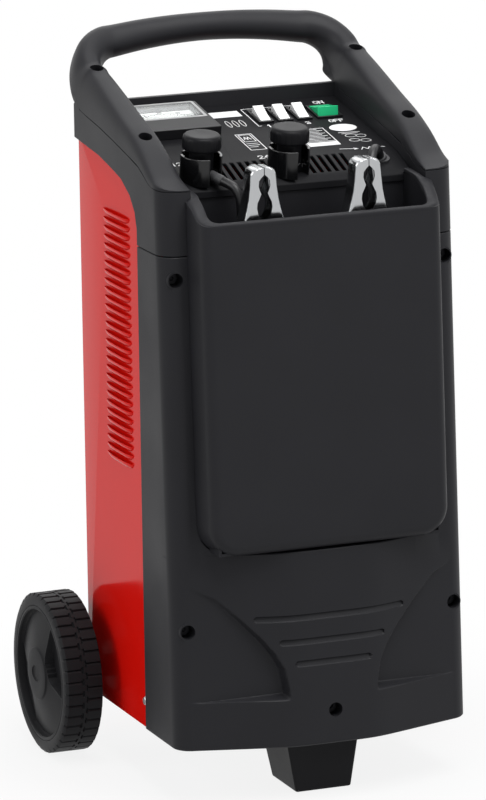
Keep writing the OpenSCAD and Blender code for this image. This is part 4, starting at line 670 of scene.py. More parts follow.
# ---------------------------------------------------------------- handle hoop
ARM_SEAM = np.array([
    (leaning_y(COLUMN_Y, COLLAR_Z), 529), (-96, 530.3), (-81.5, 532.5), (-58, 543.3), (-30, 549.6),
    (5, 556.5), (37.5, 562.3), (64, 566), (84, 569.5),
])
ARM_TOP = np.array([
    (leaning_y(COLUMN_Y, COLLAR_Z), 530.5), (-97, 535), (-83, 541.5), (-61, 555.5), (-34, 568.5), (-1, 579.5),
    (30, 590.5), (54, 599), (70, 604.5),
])
UP, BACK = np.array([0, math.sin(HOOP_TILT), math.cos(HOOP_TILT)]), np.array(
    [0, math.cos(HOOP_TILT), -math.sin(HOOP_TILT)]
)
LOOP_X, HOOP_RISE, ARCH = ARM_X - GRIP_R, 43.2, 7.3
HOOP_FOOT = np.array([0, GRIP_Y, GRIP_Z]) - UP * (HOOP_RISE + ARCH)


def handle_stations():
    """Rows of centre, side vector, top offset, back offset, squareness and inner flare, from the right arm to
    the bar's middle."""
    arm = [ARM_W / 2 - 0.05, 0, 0]
    square = [4.4, 4.4, 4.4, 4.4, 4.3, 4.1, 3.9, 3.6, 3.3]
    rows = [
        [ARM_X, s[0], s[1] + 0.7, *arm, t[0] - s[0], t[1] - s[1] - 0.5, 0, 0, q, 0]
        for s, t, q in zip(ARM_SEAM, ARM_TOP, square)
    ]
    rows.append([ARM_X, 92, 576.75, *arm, -17, 31, 11.5, -6, 3.0, 0])
    half, flare = [13.7, 13.4, 13.3, 13.7, 13.9, 14.1, 14.2], [10, 7, 2.5, 0, 0, 0, 0]
    for i in range(7):
        a, f = math.radians(15 * i), i / 6
        m, b = (1 - f) ** 1.5, GRIP_D / 2 + 0.8 * (1 - f)
        side = (np.array([math.cos(a), 0, 0]) + UP * math.sin(a)) * half[i]
        centre = np.array([LOOP_X + GRIP_R * math.cos(a), 0, 0]) + HOOP_FOOT + UP * HOOP_RISE * math.sin(a)
        top = m * np.array([0, -16, 24]) - (1 - m) * b * BACK
        rear = m * np.array([0, 9.5, -6]) + (1 - m) * b * BACK
        rows.append([*centre, *side, *top[1:], *rear[1:], 2.8 - 0.65 * f, flare[i]])
    for f, half_w in ((0.7, 13.4), (0.35, 12.6), (0.0, 12.2)):
        centre = np.array([LOOP_X * f, 0, 0]) + HOOP_FOOT + UP * (HOOP_RISE + ARCH * (1 - f * f))
        rows.append([*centre, *(UP * half_w), *(BACK[1:] * -GRIP_D / 2), *(BACK[1:] * GRIP_D / 2), 2.1, 0])
    return np.array(rows)


def handle_ring(rows, back, count=24):
    """Half rings c + C (a + f S) + S b on one side of the split plane, C and S the signed powers 2/n of cos
    and sin."""
    a = np.radians(np.linspace(0, 180, count + 1))[None, :, None]
    e = 2 / rows[:, None, 10:11]
    c = np.sign(np.cos(a)) * np.abs(np.cos(a)) ** e
    s = np.abs(np.sin(a)) ** e
    centre, side = rows[:, None, 0:3], rows[:, None, 3:6]
    pair = rows[:, 8:10] if back else rows[:, 6:8]
    offset = np.concatenate([np.zeros((len(rows), 1)), pair], axis=1)[:, None, :]
    if back:
        along = side / np.linalg.norm(side, axis=2, keepdims=True)
        side = side + along * rows[:, None, 11:12] * s * (c < 0)
    return centre + c * side + s * offset


def clear_of_corner(points):
    """The collar's rounded front corner, continued up the front ends of the arms."""
    lean_y = points[..., 1] * math.cos(LEAN) - points[..., 2] * math.sin(LEAN)
    drop = np.clip(COLUMN_Y + CORNER_R - lean_y, 0, CORNER_R)
    limit = HALF_W - CORNER_R + np.sqrt(CORNER_R**2 - drop**2)
    points[..., 0] = np.clip(points[..., 0], -limit, limit)
    return points


ARM_HOLES, ARM_HOLE_R = [(ARM_X, -40.0, 565.7, math.radians(22)), (ARM_X, 76.0, 606.6, math.radians(19))], 6.0


def handle():
    """Front and rear half of the hoop along the same stations, the rear one from the knee of each arm on."""
    right = handle_stations()
    left = right[-2::-1] * [-1, 1, 1, -1, 1, 1, 1, 1, 1, 1, 1, 1]
    rows = curve_through(np.vstack([right, left]), 4)
    holes = []
    for x, y, z, tilt in ARM_HOLES:
        for s in (-1, 1):
            holes.append(
                moved(turned([(ARM_HOLE_R, -12), (ARM_HOLE_R, 14)], 40), (s * x, y, z), rotation("X", tilt))
            )
    piece("handle_hoop_top", loft(
        clear_of_corner(handle_ring(rows, False))
    ), "handle_top", P["shell_black"], ["handle_top"],
          angle=40, cuts=holes)
    knee = 4 * len(ARM_SEAM)
    piece("handle_hoop_back", loft(
        handle_ring(rows[knee:len(rows) - knee], True)
    ), "handle_back", P["shell_black"],
          ["handle_back"], angle=40)


handle()


# ---------------------------------------------------------------- cable pocket
def lean_to_world(points):
    """Points whose y lies in the leaning frame, y' = y cos L - z sin L, at their own height."""
    out = np.array(points, float)
    out[..., 1] = leaning_y(out[..., 1], out[..., 2])
    return out


POCKET_FILLET, POCKET_R, POCKET_WALL, POCKET_SIDE_Y = 9.5, 28.0, 4.0, -134.4


def rim_height(y):
    """Height of the pocket's top edge over depth, in the world's frame."""
    return np.interp(y, [-139.4, -137.5, -134.5, -131.5, -128, -122, -116, -109, -100, -80],
                     [506, 506.2, 507.3, 508.6, 510.8, 516, 520.3, 523.6, 526, 527])


def pocket_line(d, depth, n=10):
    """U line of the front at inset d from the widest outline and leaning depth y'; its ends follow the
    rim."""
    x = POCKET_BACK_X - d
    r = max(POCKET_R - d, 0.6)
    low = POCKET_FLOOR_Z + d
    top = float(rim_height(leaning_y(depth, POCKET_RIM_Z + 6))) - 2.0
    left = [(-x, z) for z in np.linspace(top, low + r, 9)[:-1]]
    corner_l = arc(-x + r, low + r, r, 180, 270, n)
    floor = [(v, low) for v in np.linspace(-x + r, x - r, 7)[1:-1]]
    corner_r = arc(x - r, low + r, r, 270, 360, n)
    right = [(x, z) for z in np.linspace(low + r, top, 9)[1:]]
    flat = np.vstack([left, corner_l, floor, corner_r, right])
    return lean_to_world(np.column_stack([flat[:, 0], np.full(len(flat), depth), flat[:, 1]]))


def pocket_shape():
    """Outer lines from the rear edge round the fillet to the middle, then the inner lines back; shut at the
    top and rear."""
    d0 = POCKET_BACK_X - POCKET_FRONT_X
    a = np.radians(np.linspace(0, 90, 8))
    insets = [0, d0 * 0.5, d0] + list(d0 + POCKET_FILLET * (1 - np.cos(a[1:]))) + [30, 50, 75, 100]
    depths = [POCKET_SIDE_Y, (POCKET_SIDE_Y + POCKET_Y + POCKET_FILLET) / 2, POCKET_Y + POCKET_FILLET]
    depths += list(POCKET_Y + POCKET_FILLET * (1 - np.sin(a[1:]))) + [POCKET_Y] * 4
    w = POCKET_WALL
    outer = [pocket_line(d, y) for d, y in zip(insets, depths)]
    inner = []
    for k, (d, y) in enumerate(zip(insets, depths)):
        # The wall grows to its full depth over the fillet
        depth = max(y, POCKET_Y) + w * min(1.0, k / 9) if k else y
        inner.append(pocket_line(max(d, w) + (w if k < 3 else 0), depth))
    rows, n = len(outer), len(outer[0])
    points = np.concatenate([np.concatenate(outer), np.concatenate(inner)])
    faces = grid_faces(rows, n)
    shift = rows * n
    faces += [[k + shift for k in f[::-1]] for f in grid_faces(rows, n)]
    last = (rows - 1) * n
    faces.append([last + k for k in range(n)])
    faces.append([shift + last + k for k in range(n)][::-1])
    for k in range(n - 1):
        faces.append([k + 1, k, k + shift, k + 1 + shift])
    for end in (0, n - 1):
        for i in range(rows - 1):
            q = [i * n + end, (i + 1) * n + end, (i + 1) * n + end + shift, i * n + end + shift]
            faces.append(q if end == 0 else q[::-1])
    faces.append([last, last + n - 1, last + n - 1 + shift, last + shift])
    return solid(points, faces)


def pocket_rim():
    """Rolled lip: at each station an outline from the inner edge over the top and down the outer face,
    carried round the pocket."""
    half = [
        (-99.4, -79, -106.6, -79, 527.3, 4.0), (-99.4, -90, -106.6, -90, 526.8, 4.0),
        (-99.4, -101, -106.7, -101, 526, 4.5),
        (-99.5, -107.6, -108.4, -108.6, 524.4, 5.0), (-99.6, -110, -111.9, -110.6, 523.2, 5.5),
        (-99.7, -116, -111.2, -116, 520.3, 6.0), (-99.6, -122, -110.6, -122.4, 516, 6.0),
        (-99.2, -127, -109.9, -128.6, 511.0, 6.0), (-98.0, -131.0, -108.2, -133.4, 508.2, 5.6),
        (-95.6, -133.8, -104.8, -136.9, 506.9, 5.0), (-92.6, -134.9, -100.2, -139, 506.2, 4.6),
        (-88, -135.2, -95, -139.7, 506, 4.4),
        (-60, -135.2, -62, -139.8, 506, 4.4), (-30, -135.2, -31, -139.8, 506, 4.4),
        (0, -135.2, 0, -139.8, 506, 4.4),
    ]
    half = np.array(half, float)
    rows = curve_through(np.vstack([half, half[-2::-1] * [-1, 1, -1, 1, 1, 1]]), 4)
    xi, yi, xo, yo, z, h = rows.T
    a = np.radians(np.linspace(90, 0, 7))
    lane = [(0.0, -1.0), (0.0, -0.25), (0.03, -0.1), (0.1, -0.02), (0.2, 0.0)]
    lane += [(0.45 + 0.55 * math.cos(v), -0.62 * (1 - math.sin(v))) for v in a] + [(1.0, -1.0)]
    rings = [np.stack([xi + (xo - xi) * f, yi + (yo - yi) * f, z + h * g], axis=1) for f, g in lane]
    return loft(np.stack(rings, axis=1))


piece("pocket_panel", pocket_shape(), "pocket_front", P["shell_black"], ["pocket_front"], angle=45)
piece("pocket_lip", pocket_rim(), "pocket_front", P["shell_black"], angle=50)


def side_prism(outline, x0, x1):
    """A closed block with the outline in (y, z) between two planes of constant x."""
    flat = np.asarray(outline, float)
    return loft([np.column_stack([np.full(len(flat), x), flat]) for x in (x0, x1)])


def block(lo, hi):
    """Plain box between two corners."""
    (x0, y0, z0), (x1, y1, z1) = lo, hi
    return side_prism([(y0, z0), (y1, z0), (y1, z1), (y0, z1)], x0, x1)


TUB_X, TUB_BACK_Y, TUB_FLOOR_Z, TUB_T = 99.4, -75.0, 222.3, 2.5


def tub():
    """The liner: side walls under the rim, a back wall, a floor and the ledges that reach the arms."""
    front_low, front_high = leaning_y(POCKET_Y + 4.7, TUB_FLOOR_Z), leaning_y(POCKET_Y + 4.7, 500)
    wall_line = [(TUB_BACK_Y, TUB_FLOOR_Z), (front_low, TUB_FLOOR_Z), (front_high, 501)]
    wall_line += [
        (y, rim_height(y) - 3.0) for y in (-131, -127, -122, -116, -109, -100, -80)
    ] + [(TUB_BACK_Y, 523)]
    made = new_object("pocket_liner", side_prism(wall_line, TUB_X, TUB_X + TUB_T))
    fuse(made, mirrored(side_prism(wall_line, TUB_X, TUB_X + TUB_T)))
    fuse(made, block((-TUB_X - 0.5, TUB_BACK_Y - TUB_T, TUB_FLOOR_Z), (TUB_X + 0.5, TUB_BACK_Y, 519)))
    fuse(made, block((-TUB_X - 0.5, front_low, TUB_FLOOR_Z), (TUB_X + 0.5, TUB_BACK_Y, TUB_FLOOR_Z + TUB_T)))
    ledge = [(-106, 516), (-106, 521.8), (-100, 523.2), (-77.6, 524.0), (-77.6, 516)]
    for s in (-1, 1):
        x0, x1 = sorted((s * (TUB_X + 1), s * (ARM_IN_X - 0.3)))
        fuse(made, side_prism(ledge, x0, x1))
    smooth(made, 35)
    finish_piece(made, "pocket_tub", P["shell_black"], ["pocket_tub"])


tub()


# ---------------------------------------------------------------- lower front and columns
PROW_SOFT = 6.0
FADE_X, FADE_BACK = [84, 110, 117.5, 120.4], [0, 2.8, 0.64, 0]


def plan_front(inset_by, spread, top):
    """Plan of the frame's front half from the right seam round to the left, as (x, y'); top leaves the prow
    out, whose sloping faces meet its flat one in a curve PROW_SOFT log(1 + exp(x / PROW_SOFT))."""
    corner = arc(HALF_W - CORNER_R, COLUMN_Y + CORNER_R, CORNER_R - inset_by, 0, -80 if not top else -90, 14)
    side = [(HALF_W - inset_by, y) for y in (-40.0, -88.0, -105.0)]
    half = np.vstack([side, corner])
    if top:
        return half
    flat = PROW_FLAT_W / 2 - inset_by * 0.3
    n = spread
    x0, y0 = half[-1]
    x = np.concatenate([np.linspace(x0, flat, n + 1)[1:], np.linspace(flat, 0, n // 3 + 1)[1:]])
    rise = (y0 - PROW_Y - inset_by) / (x0 - flat)
    soft = PROW_SOFT * np.log1p(np.exp((x - flat) / PROW_SOFT))
    half = np.vstack([half, np.column_stack([x, PROW_Y + inset_by + rise * np.minimum(soft, x0 - flat)])])
    return np.vstack([half, half[-2::-1] * [-1, 1]])


NECK_Z = [86, 99, 105, 118, 131, 145, 163, 172, 181, 187, 200]
NECK_X = [40, 41, 42, 44.7, 51.7, 62.6, 80, 89.5, 99.7, 112, 140]
GROOVES = ((162.0, 137.0), (141.0, 96.0), (122.0, 69.0))
GROOVE_HALF = 2.7


def step_up(v):
    """Smooth step 3 v^2 - 2 v^3 from 0 to 1."""
    v = np.clip(v, 0, 1)
    return v * v * (3 - 2 * v)


def front_relief(x, z):
    """Depth d = 11 (121 - |x|) / 81 pressed in beyond the neck curve, run out over d / 2 below the ledge
    line, and three round-ended grooves that are deepest at their upper edge."""
    ax = np.abs(x)
    neck = np.interp(z, NECK_Z, NECK_X)
    full = 11.0 * np.clip((121.5 - ax) / 81, 0, 1.02)
    ledge = 96 - 4.5 * (ax - 40) / 81
    above = step_up((z - ledge + 0.5 * full) / np.maximum(0.5 * full, 0.8))
    scoop = full * step_up((ax - neck) / 3.8 + 0.25) * above
    cut_in = np.zeros_like(scoop)
    for gz, gw in GROOVES:
        past_end = ((ax - gw / 2 + GROOVE_HALF) / GROOVE_HALF).clip(0, 1)
        half = np.sqrt(np.clip(1 - past_end**2, 0, 1)) * GROOVE_HALF
        floor = 1.7 + 1.0 * np.clip((z - gz) / GROOVE_HALF, -1, 1)
        cut_in = np.maximum(cut_in, floor * step_up((half - np.abs(z - gz)) / 0.6 + 0.3) * (ax < gw / 2))
    return scoop + cut_in


GROOVE_LEVELS = (1.0, 1.9, 2.2, 2.45, 2.7, 2.9, 3.1)


def lower_front():
    """Plan rings y' = plan + relief up the leaning front, finer at the grooves and the ledge line, over a 3
    mm wall."""
    fine = [row[0] + k for row in GROOVES for k in (0, *GROOVE_LEVELS, *(-v for v in GROOVE_LEVELS))]
    ends = [50.0, 50.35, 51.0, 218.3, 218.8, 219.1]
    levels = np.unique(np.concatenate([np.arange(52, 217.5, 1.25), np.arange(84, 99, 0.45), fine, ends]))
    outer = plan_front(0.0, 96, False)
    inner = plan_front(3.0, 6, False)[::-1]
    rings = []
    for z in levels:
        edge = max(0.0, 1.1 - (z - 50.0)) if z < 51.2 else max(0.0, (z - 218.3) * 0.7)
        ring = plan_front(edge, 96, False) if edge else outer.copy()
        ring[:, 1] += front_relief(ring[:, 0], np.full(len(ring), z)) * (ring[:, 1] < -125)
        fade = np.interp(np.abs(ring[:, 0]), FADE_X, FADE_BACK)
        ring[:, 1] += float(step_up((z - 190) / 25)) * fade * (ring[:, 1] < -125)
        flat = np.vstack([ring, inner])
        deep = flat[:, 1]
        deep[len(ring):] += np.where(np.abs(inner[:, 0]) < 120, 9.0, 0.0)
        level = np.column_stack([flat[:, 0], leaning_y(deep, z), np.full(len(flat), z)])
        # The rear edges end at the seam
        level[:, 1] = np.minimum(level[:, 1], SEAM_Y - 0.3)
        rings.append(level)
    return loft(rings)


def column():
    """The right column: corner, side and front face over a 3 mm wall, with a return of 3 mm beside the
    pocket."""
    outer = plan_front(0.0, 0, True)
    inner = plan_front(3.0, 0, True)[::-1]
    plan = np.vstack([outer, [[108, COLUMN_Y], [108, -40], [111, -40], [111, COLUMN_Y + 3]], inner])
    rings = []
    for z in (214.0, 300.0, 400.0, COLLAR_SEAM_Z - 1.7, COLLAR_SEAM_Z - 1.0):
        flat = inset(plan[::-1], 0.6)[::-1] if z > COLLAR_SEAM_Z - 1.5 else plan
        level = np.column_stack([flat[:, 0], leaning_y(flat[:, 1], z), np.full(len(flat), z)])
        level[:, 1] = np.minimum(level[:, 1], SEAM_Y - 0.3)
        rings.append(level)
    return loft(rings)


def corner_fills():
    """Front wall between the pocket's rounded lower corners and the columns, on the prow's own sloping
    plane."""
    r = POCKET_R + 0.7
    around = arc(POCKET_BACK_X - POCKET_R, POCKET_FLOOR_Z + POCKET_R, r, 0, -90, 14)
    low = POCKET_FLOOR_Z - 1.0
    foot = [(x, low) for x in np.linspace(POCKET_BACK_X - POCKET_R - 6, 112.9, 12)]
    flat = np.vstack([[(112.9, POCKET_FLOOR_Z + POCKET_R)], around, foot])[::-1]
    x0 = HALF_W - CORNER_R + CORNER_R * math.cos(math.radians(80))
    y0 = COLUMN_Y + CORNER_R - CORNER_R * math.sin(math.radians(80))
    plane = np.interp(flat[:, 0], [PROW_FLAT_W / 2, x0], [PROW_Y, y0])
    deep = plane + np.interp(flat[:, 0], FADE_X, FADE_BACK) + 0.15
    rings = [np.column_stack([flat[:, 0], leaning_y(deep + d, flat[:, 1]), flat[:, 1]]) for d in (0, 7)]
    right = loft(rings)
    return right, mirrored(right)


def front_screw_tool(x, z, y0, r, y_from, y_to):
    """A cylinder of radius r square to the front, from y_from to y_to behind the leaning face y0."""
    return moved(
        turned([(r, -y_to), (r, -y_from)], 40), (x, float(leaning_y(y0, z)), z), rotation("X", math.pi / 2)
    )


RIBS, RIB_Z = ((127.5, 130.0, SEAM_Y - 6, SEAM_Y + 9), (127.5, 133.5, SEAM_Y - 6, SEAM_Y - 3)), (55, 467.5)
BOSS_WALL, BOSS_FROM = 2.0, 1.5


def front():
    """The lower front, the columns, the corner fills, the screws' bosses and the ribs inside the seam, then
    the recesses."""
    made = new_object("front_moulding", lower_front())
    right = column()
    fuse(made, right, mirrored(right))
    for fill in corner_fills():
        fuse(made, fill)
    spots = [
        (s * x, z, COLUMN_Y) for x, z in (FRONT_HOLE, UPPER_HOLE) for s in (-1, 1)
    ] + [(0, MIDDLE_HOLE_Z, PROW_Y)]
    bosses = []
    for x, z, y in spots:
        # A side boss stands 1 mm inward of its recess, so that it stays inside the corner
        inward = x - math.copysign(1, x) * (x != 0)
        bosses.append(
            front_screw_tool(inward, z, y, RECESS_D / 2 + BOSS_WALL, BOSS_FROM, RECESS_DEEP + BOSS_WALL)
        )
    fuse(made, *bosses)
    for s in (-1, 1):
        for x0, x1, y0, y1 in RIBS:
            rib = slab(x1 - x0, y1 - y0, *RIB_Z, 0.2, 0.1)
            fuse(made, moved(rib, (s * (x0 + x1) / 2, (y0 + y1) / 2, 0)))
    cut(made, *[front_screw_tool(x, z, y, RECESS_D / 2, -3, RECESS_DEEP) for x, z, y in spots])
    smooth(made, 32)
    finish_piece(made, "front_shell", P["shell_black"], ["front_shell"])


front()


# ---------------------------------------------------------------- steel cover with louvres
COVER_EDGE = [
    (98.5, 543.8), (39, 537.7), (14.6, 533.1), (-14.3, 526.8), (-35.4, 515.9), (-47, 503), (-51.5, 489)
]
SHEET_T, COVER_R, LOUVRE_OUT = 1.2, 3.0, 3.8


def louvre(z, hollow):
    """One pressed hood: its lip stands h(t) = H (1 - |t|^2.8)^0.55 out at height z and runs down to the
    sheet; hollow gives the cut."""
    t = np.sin(np.linspace(-math.pi / 2, math.pi / 2, 21)) * (0.93 if hollow else 0.999)
    h = LOUVRE_OUT * np.clip(1 - np.abs(t) ** 2.8, 0, 1) ** 0.55
    k = np.clip(1 - np.abs(t) ** 5, 0.02, 1) ** 0.5
    if hollow:
        # The leaf is 0.8 thick, and the hollow goes through the sheet
        out = np.maximum(h - 0.8, 0.05)
        lane = [
            (0, -0.05, 0.3), (1, 0, 0.3), (1, 0, -0.8), (0.95, 0, -1.9), (0.66, 0, -3.3), (0.2, 0, -4.2),
            (0, -2.6, -4.2), (0, -2.6, -2.7), (0, -0.05, -2.7)
        ]
    else:
        out = h
        lane = [
            (0, -0.6, 0), (0.96, 0, 0), (1, 0, -0.35), (0.99, 0, -1.2), (0.86, 0, -2.6), (0.6, 0, -3.9),
            (0.26, 0, -5.0), (0, -0.6, -5.7)
        ]
    y = (LOUVRE_Y0 + LOUVRE_Y1) / 2 + t * (LOUVRE_Y1 - LOUVRE_Y0) / 2
    rings = [np.stack([-(COVER_HALF_W + a * out + b), y, z + k * c], axis=1) for a, b, c in lane]
    return loft(np.stack(rings, axis=1))


def cover():
    """A sheet folded round the sides and the rear, raised to 560 and cut along its top edge, with its louvres
    and holes."""
    x, r = COVER_HALF_W, COVER_R
    round_back = np.vstack(
        [arc(x - r, COVER_REAR_Y - r, r, 0, 90, 5), arc(-x + r, COVER_REAR_Y - r, r, 90, 180, 5)]
    )
    hollow_back = np.vstack(
        [
            arc(-x + r, COVER_REAR_Y - r, r - SHEET_T, 180, 90, 5),
            arc(x - r, COVER_REAR_Y - r, r - SHEET_T, 90, 0, 5)
        ]
    )
    plan = np.vstack(
        [
            [(x, SEAM_Y)], round_back, [(-x, SEAM_Y), (-x + SHEET_T, SEAM_Y)], hollow_back,
            [(x - SHEET_T, SEAM_Y)]
        ]
    )
    made = new_object(
        "steel_cover", loft([np.column_stack([plan, np.full(len(plan), z)]) for z in (BODY_FLOOR_Z, 560.0)])
    )
    edge = curve_through(COVER_EDGE, 4) - [0, 0.3]
    edge[0, 1] += 0.2
    cut(made, side_prism(np.vstack([[(110, 544)], edge, [(-60, 488), (-60, 600), (110, 600)]]), -150, 150))
    for hollow, way in ((False, fuse), (True, cut)):
        hoods = [louvre(LOUVRE_Z + k * LOUVRE_PITCH, hollow) for k in range(LOUVRES)]
        way(made, *[q for hood in hoods for q in (hood, mirrored(hood))])
    across = rotation("Y", math.pi / 2)
    cut(made, moved(turned([(AXLE_HOLE_R, -160), (AXLE_HOLE_R, 160)], 40), (0, AXLE_Y, AXLE_Z), across))
    gland_hole = turned([(GLAND_HOLE_R, -10), (GLAND_HOLE_R, 10)], 40)
    cut(made, moved(gland_hole, (GLAND_X, COVER_REAR_Y, GLAND_Z), rotation("X", math.pi / 2)))
    smooth(made, 30)
    finish_piece(made, "cover", P["cover_red"], ["cover"])


cover()


# ---------------------------------------------------------------- wheels
TREAD_N, TREAD_DEEP, WHEEL_MID, AXLE_BORE_R, POCKET_DEPTH_Z = 42, 1.7, WHEEL_W / 2, 6.05, 28.5
DISH_R = [23.8, 25.2, 27, 31, 38, 46, 55]
DISH_UP, DISH_LOW = [31, 38, 45, 52, 58, 63, 66], [31, 18, 1, -5, -9.3, -13, -16]


def dish_height(r, a):
    """Web w = 36.8 - 0.213 (r - 23.5) with two opposite pockets whose floor is at 28.5: w - (w - 28.5) S(s /
    2.2), s the distance round the turn from the nearer edge, plus a low bead along that edge."""
    web = 36.8 - 0.213 * (r - 23.5)
    rise = np.zeros(np.broadcast_shapes(r.shape, a.shape)) - 1e3
    for turn in (90, 270):
        t = np.mod(np.degrees(a) - turn + 180, 360) - 180
        rise = np.maximum(
            rise, np.minimum(np.interp(r, DISH_R, DISH_UP) - t, t - np.interp(r, DISH_R, DISH_LOW))
        )
    s = rise * r * math.pi / 180
    return web - np.maximum(web - POCKET_DEPTH_Z, 1.2) * step_up(s / 2.2) + 0.55 * np.exp(-((s / 0.7) ** 2))


def wheel_surface():
    """Profile (r, z) turned about the axle; on the tread r = 71 - d g, with g the grooves of two staggered
    rows and their stepped middle line."""
    tread_z = np.unique(
        np.concatenate([[2.2, 3.2, 4.6, 30.9, 32.3, 33.3], np.arange(6, 30, 2.5), np.arange(14, 21.8, 0.6)])
    )
    profile = [
        (11, 0.3), (20, 0.3), (22, 1.0), (22.5, 14.5), (54.6, 14.5), (55, 1.2), (56, 0.3), (63, 0.3),
        (67.4, 0.8), (69.6, 1.5)
    ]
    profile += [(TREAD_R, z) for z in tread_z]
    profile += [
        (69.8, 34.0), (68.0, 34.9), (63.0, 35.4), (60.4, 35.2), (59.9, 34.7), (59.4, 35.2), (57.6, 35.4),
        (56.6, 34.6), (56.2, 33.2)
    ]
    profile += [(55.4, 31.0)] + [(r, 0) for r in np.linspace(54.8, 24.0, 32)]
    profile += [(23.4, 37.2), (22.6, 38.0), (21.4, 38.3), (15, 38.4), (11, 38.4), (6.4, 38.4)]
    profile = np.array(profile, float)
    n = TREAD_N * 12
    a = full_turn(n)[None, :]
    r, z = profile[:, :1], profile[:, 1:]
    phase = a * TREAD_N / (2 * math.pi) + 0.02

    def groove(shift):
        f = np.mod(phase + shift, 1.0)
        return step_up((0.085 - np.abs(f - 0.5)) / 0.05)

    saw = np.where(np.mod(phase, 1.0) < 0.5, 1.0, -1.0)
    middle = WHEEL_MID + 1.7 * saw
    upper = (z > middle).astype(float)
    grooves = np.where(upper > 0, groove(0.25), groove(-0.25))
    seam = step_up((0.95 - np.abs(z - middle)) / 0.5)
    on_tread = (profile[:, 0] > 69.0)[:, None]
    depth = TREAD_DEEP * np.maximum(grooves, seam) * on_tread
    # Blocks bulge a little toward their leading edge
    lead = 0.35 * np.where(upper > 0, np.mod(phase + 0.75, 1.0), np.mod(phase + 0.25, 1.0)) * on_tread
    rr = r - depth - lead * (1 - np.maximum(grooves, seam))
    level = np.where((z == 0) & (r < 56), dish_height(r, a), z)
    rings = np.stack([rr * np.cos(a), rr * np.sin(a), level], axis=-1)
    return loft(rings)


DIMPLE = ((6.2, 9.0, 37.2), (6.9, 10.2, 37.8), (7.6, 11.2, 40))


def oval_dimple():
    """Shallow oval hollow in the hub, through (half width, half length, height) levels."""
    a = full_turn(40)
    return loft([np.column_stack([sx * np.cos(a), sy * np.sin(a), np.full(40, z)]) for sx, sy, z in DIMPLE])


def wheel(name, s):
    """The wheel turned so that its dish faces outward on side s, and set on the axle."""
    made = new_object("tyred_" + name, wheel_surface())
    cut(made, turned([(AXLE_BORE_R, -3), (AXLE_BORE_R, 32)], 40), oval_dimple())
    smooth(made, 28)
    turn = rotation("Y", s * math.pi / 2) @ rotation("Z", 0 if s > 0 else math.pi)
    made.data.transform(Matrix(turn.tolist()).to_4x4())
    made.data.transform(Matrix.Translation((s * WHEEL_IN_X * MM, AXLE_Y * MM, AXLE_Z * MM)))
    finish_piece(made, name, P["wheel_black"], [name])


for side, sign in (("wheel_left", -1), ("wheel_right", 1)):
    wheel(side, sign)


# ---------------------------------------------------------------- clamps
JAW_OUTER = np.array([
    (5.0, 55.5), (8.6, 54.4), (10.6, 52.6), (11.9, 50), (12.5, 45), (13.1, 38), (14.4, 28), (16.2, 20),
    (19.0, 10), (20.8, 3),
    (21.8, -6), (22.3, -15), (22.8, -30), (23.3, -55), (24, -80),
])
JAW_INNER = np.array([
    (0.7, 55.5), (0.7, 49.5), (3.2, 47.2), (5.2, 44.5), (5.6, 40), (4.6, 36.6), (3.3, 33.5), (4.6, 30.4),
    (6.8, 26), (7.3, 21.5),
    (6.3, 16.5), (3.4, 11.8), (-1, 9), (-5.5, 6), (-7.5, 1), (-6.5, -4.5), (0, -7.6), (5, -9), (9, -13),
    (11, -30), (11.5, -55), (11.5, -80),
])
CLAMP_T, OUTER_DEPTH, INNER_DEPTH, CORNER_OUT_R = 1.5, 20.0, 16.6, 3.6
PIN_HOLE_R, SOCKET_R, SOCKET_H = 2.55, 5.0, 14.0


def jaw_shape(depth, foot):
    """Pressed channel: at each height a C from the inner edge round the outer corner r to the other flange,
    and back inside it."""
    zs = np.unique(np.concatenate([JAW_OUTER[:, 1], JAW_INNER[:, 1], np.linspace(foot, 55.5, 56)]))
    zs = zs[zs >= foot]
    o, i = JAW_OUTER[::-1], JAW_INNER[::-1]
    rings, d = [], depth / 2
    for z in zs:
        xo, xi = float(np.interp(z, o[:, 1], o[:, 0])), float(np.interp(z, i[:, 1], i[:, 0]))
        xi = min(xi, xo - 3.2)
        r = min(CORNER_OUT_R, xo - xi - 0.2)
        turn = np.radians(np.linspace(0, 90, 6))
        ri = max(r - CLAMP_T, 0.2)
        a = [(xo - r + r * math.sin(v), -d + r - r * math.cos(v)) for v in turn]
        b = [(xo - r + ri * math.sin(v), -d + r - ri * math.cos(v)) for v in turn]
        outside = [(xi, -d)] + a + [(x, -y) for x, y in a[::-1]] + [(xi, d)]
        inside = [(xi, -d + CLAMP_T)] + b + [(x, -y) for x, y in b[::-1]] + [(xi, d - CLAMP_T)]
        ring = outside + inside[::-1]
        rings.append([(x, y, z) for x, y in ring])
    return loft(rings)


def lid(depth):
    """The turned-over end that closes the channel at the top of a jaw."""
    d = depth / 2 - 0.2
    return moved(slab(5.2, 2 * d, 54.0, 55.5, 0.8, 0.4), (3.4, 0, 0))


def clamp(name, x):
    """The outer half with the cable's socket on the left, the inner jaw on the right, both bored for the
    pin."""
    at, low = (x, CLAMP_Y, CLAMP_PIVOT_Z), CLAMP_FOOT_Z - CLAMP_PIVOT_Z
    bore = moved(turned([(PIN_HOLE_R, -30), (PIN_HOLE_R, 30)], 24), turn=rotation("X", math.pi / 2))
    for part, shape, depth, foot in (("fixed", -1, OUTER_DEPTH, low), ("jaw", 1, INNER_DEPTH, low + 5)):
        half = jaw_shape(depth, foot)
        made = new_object("clamp_" + name + "_" + part + "_pressing", half if shape > 0 else mirrored(half))
        cap = lid(depth)
        fuse(made, cap if shape > 0 else mirrored(cap))
        cut(made, bore)
        if part == "fixed":
            fuse(
                made, moved(turned([(SOCKET_R, low), (SOCKET_R, low + SOCKET_H)], 32), (CLAMP_HANDLE_X, 0, 0))
            )
        made.data.transform(Matrix.Translation([c * MM for c in at]))
        smooth(made, 40)
        node = "clamp_" + name + "_" + part
        finish_piece(made, node, P["clamp_steel"], [node])


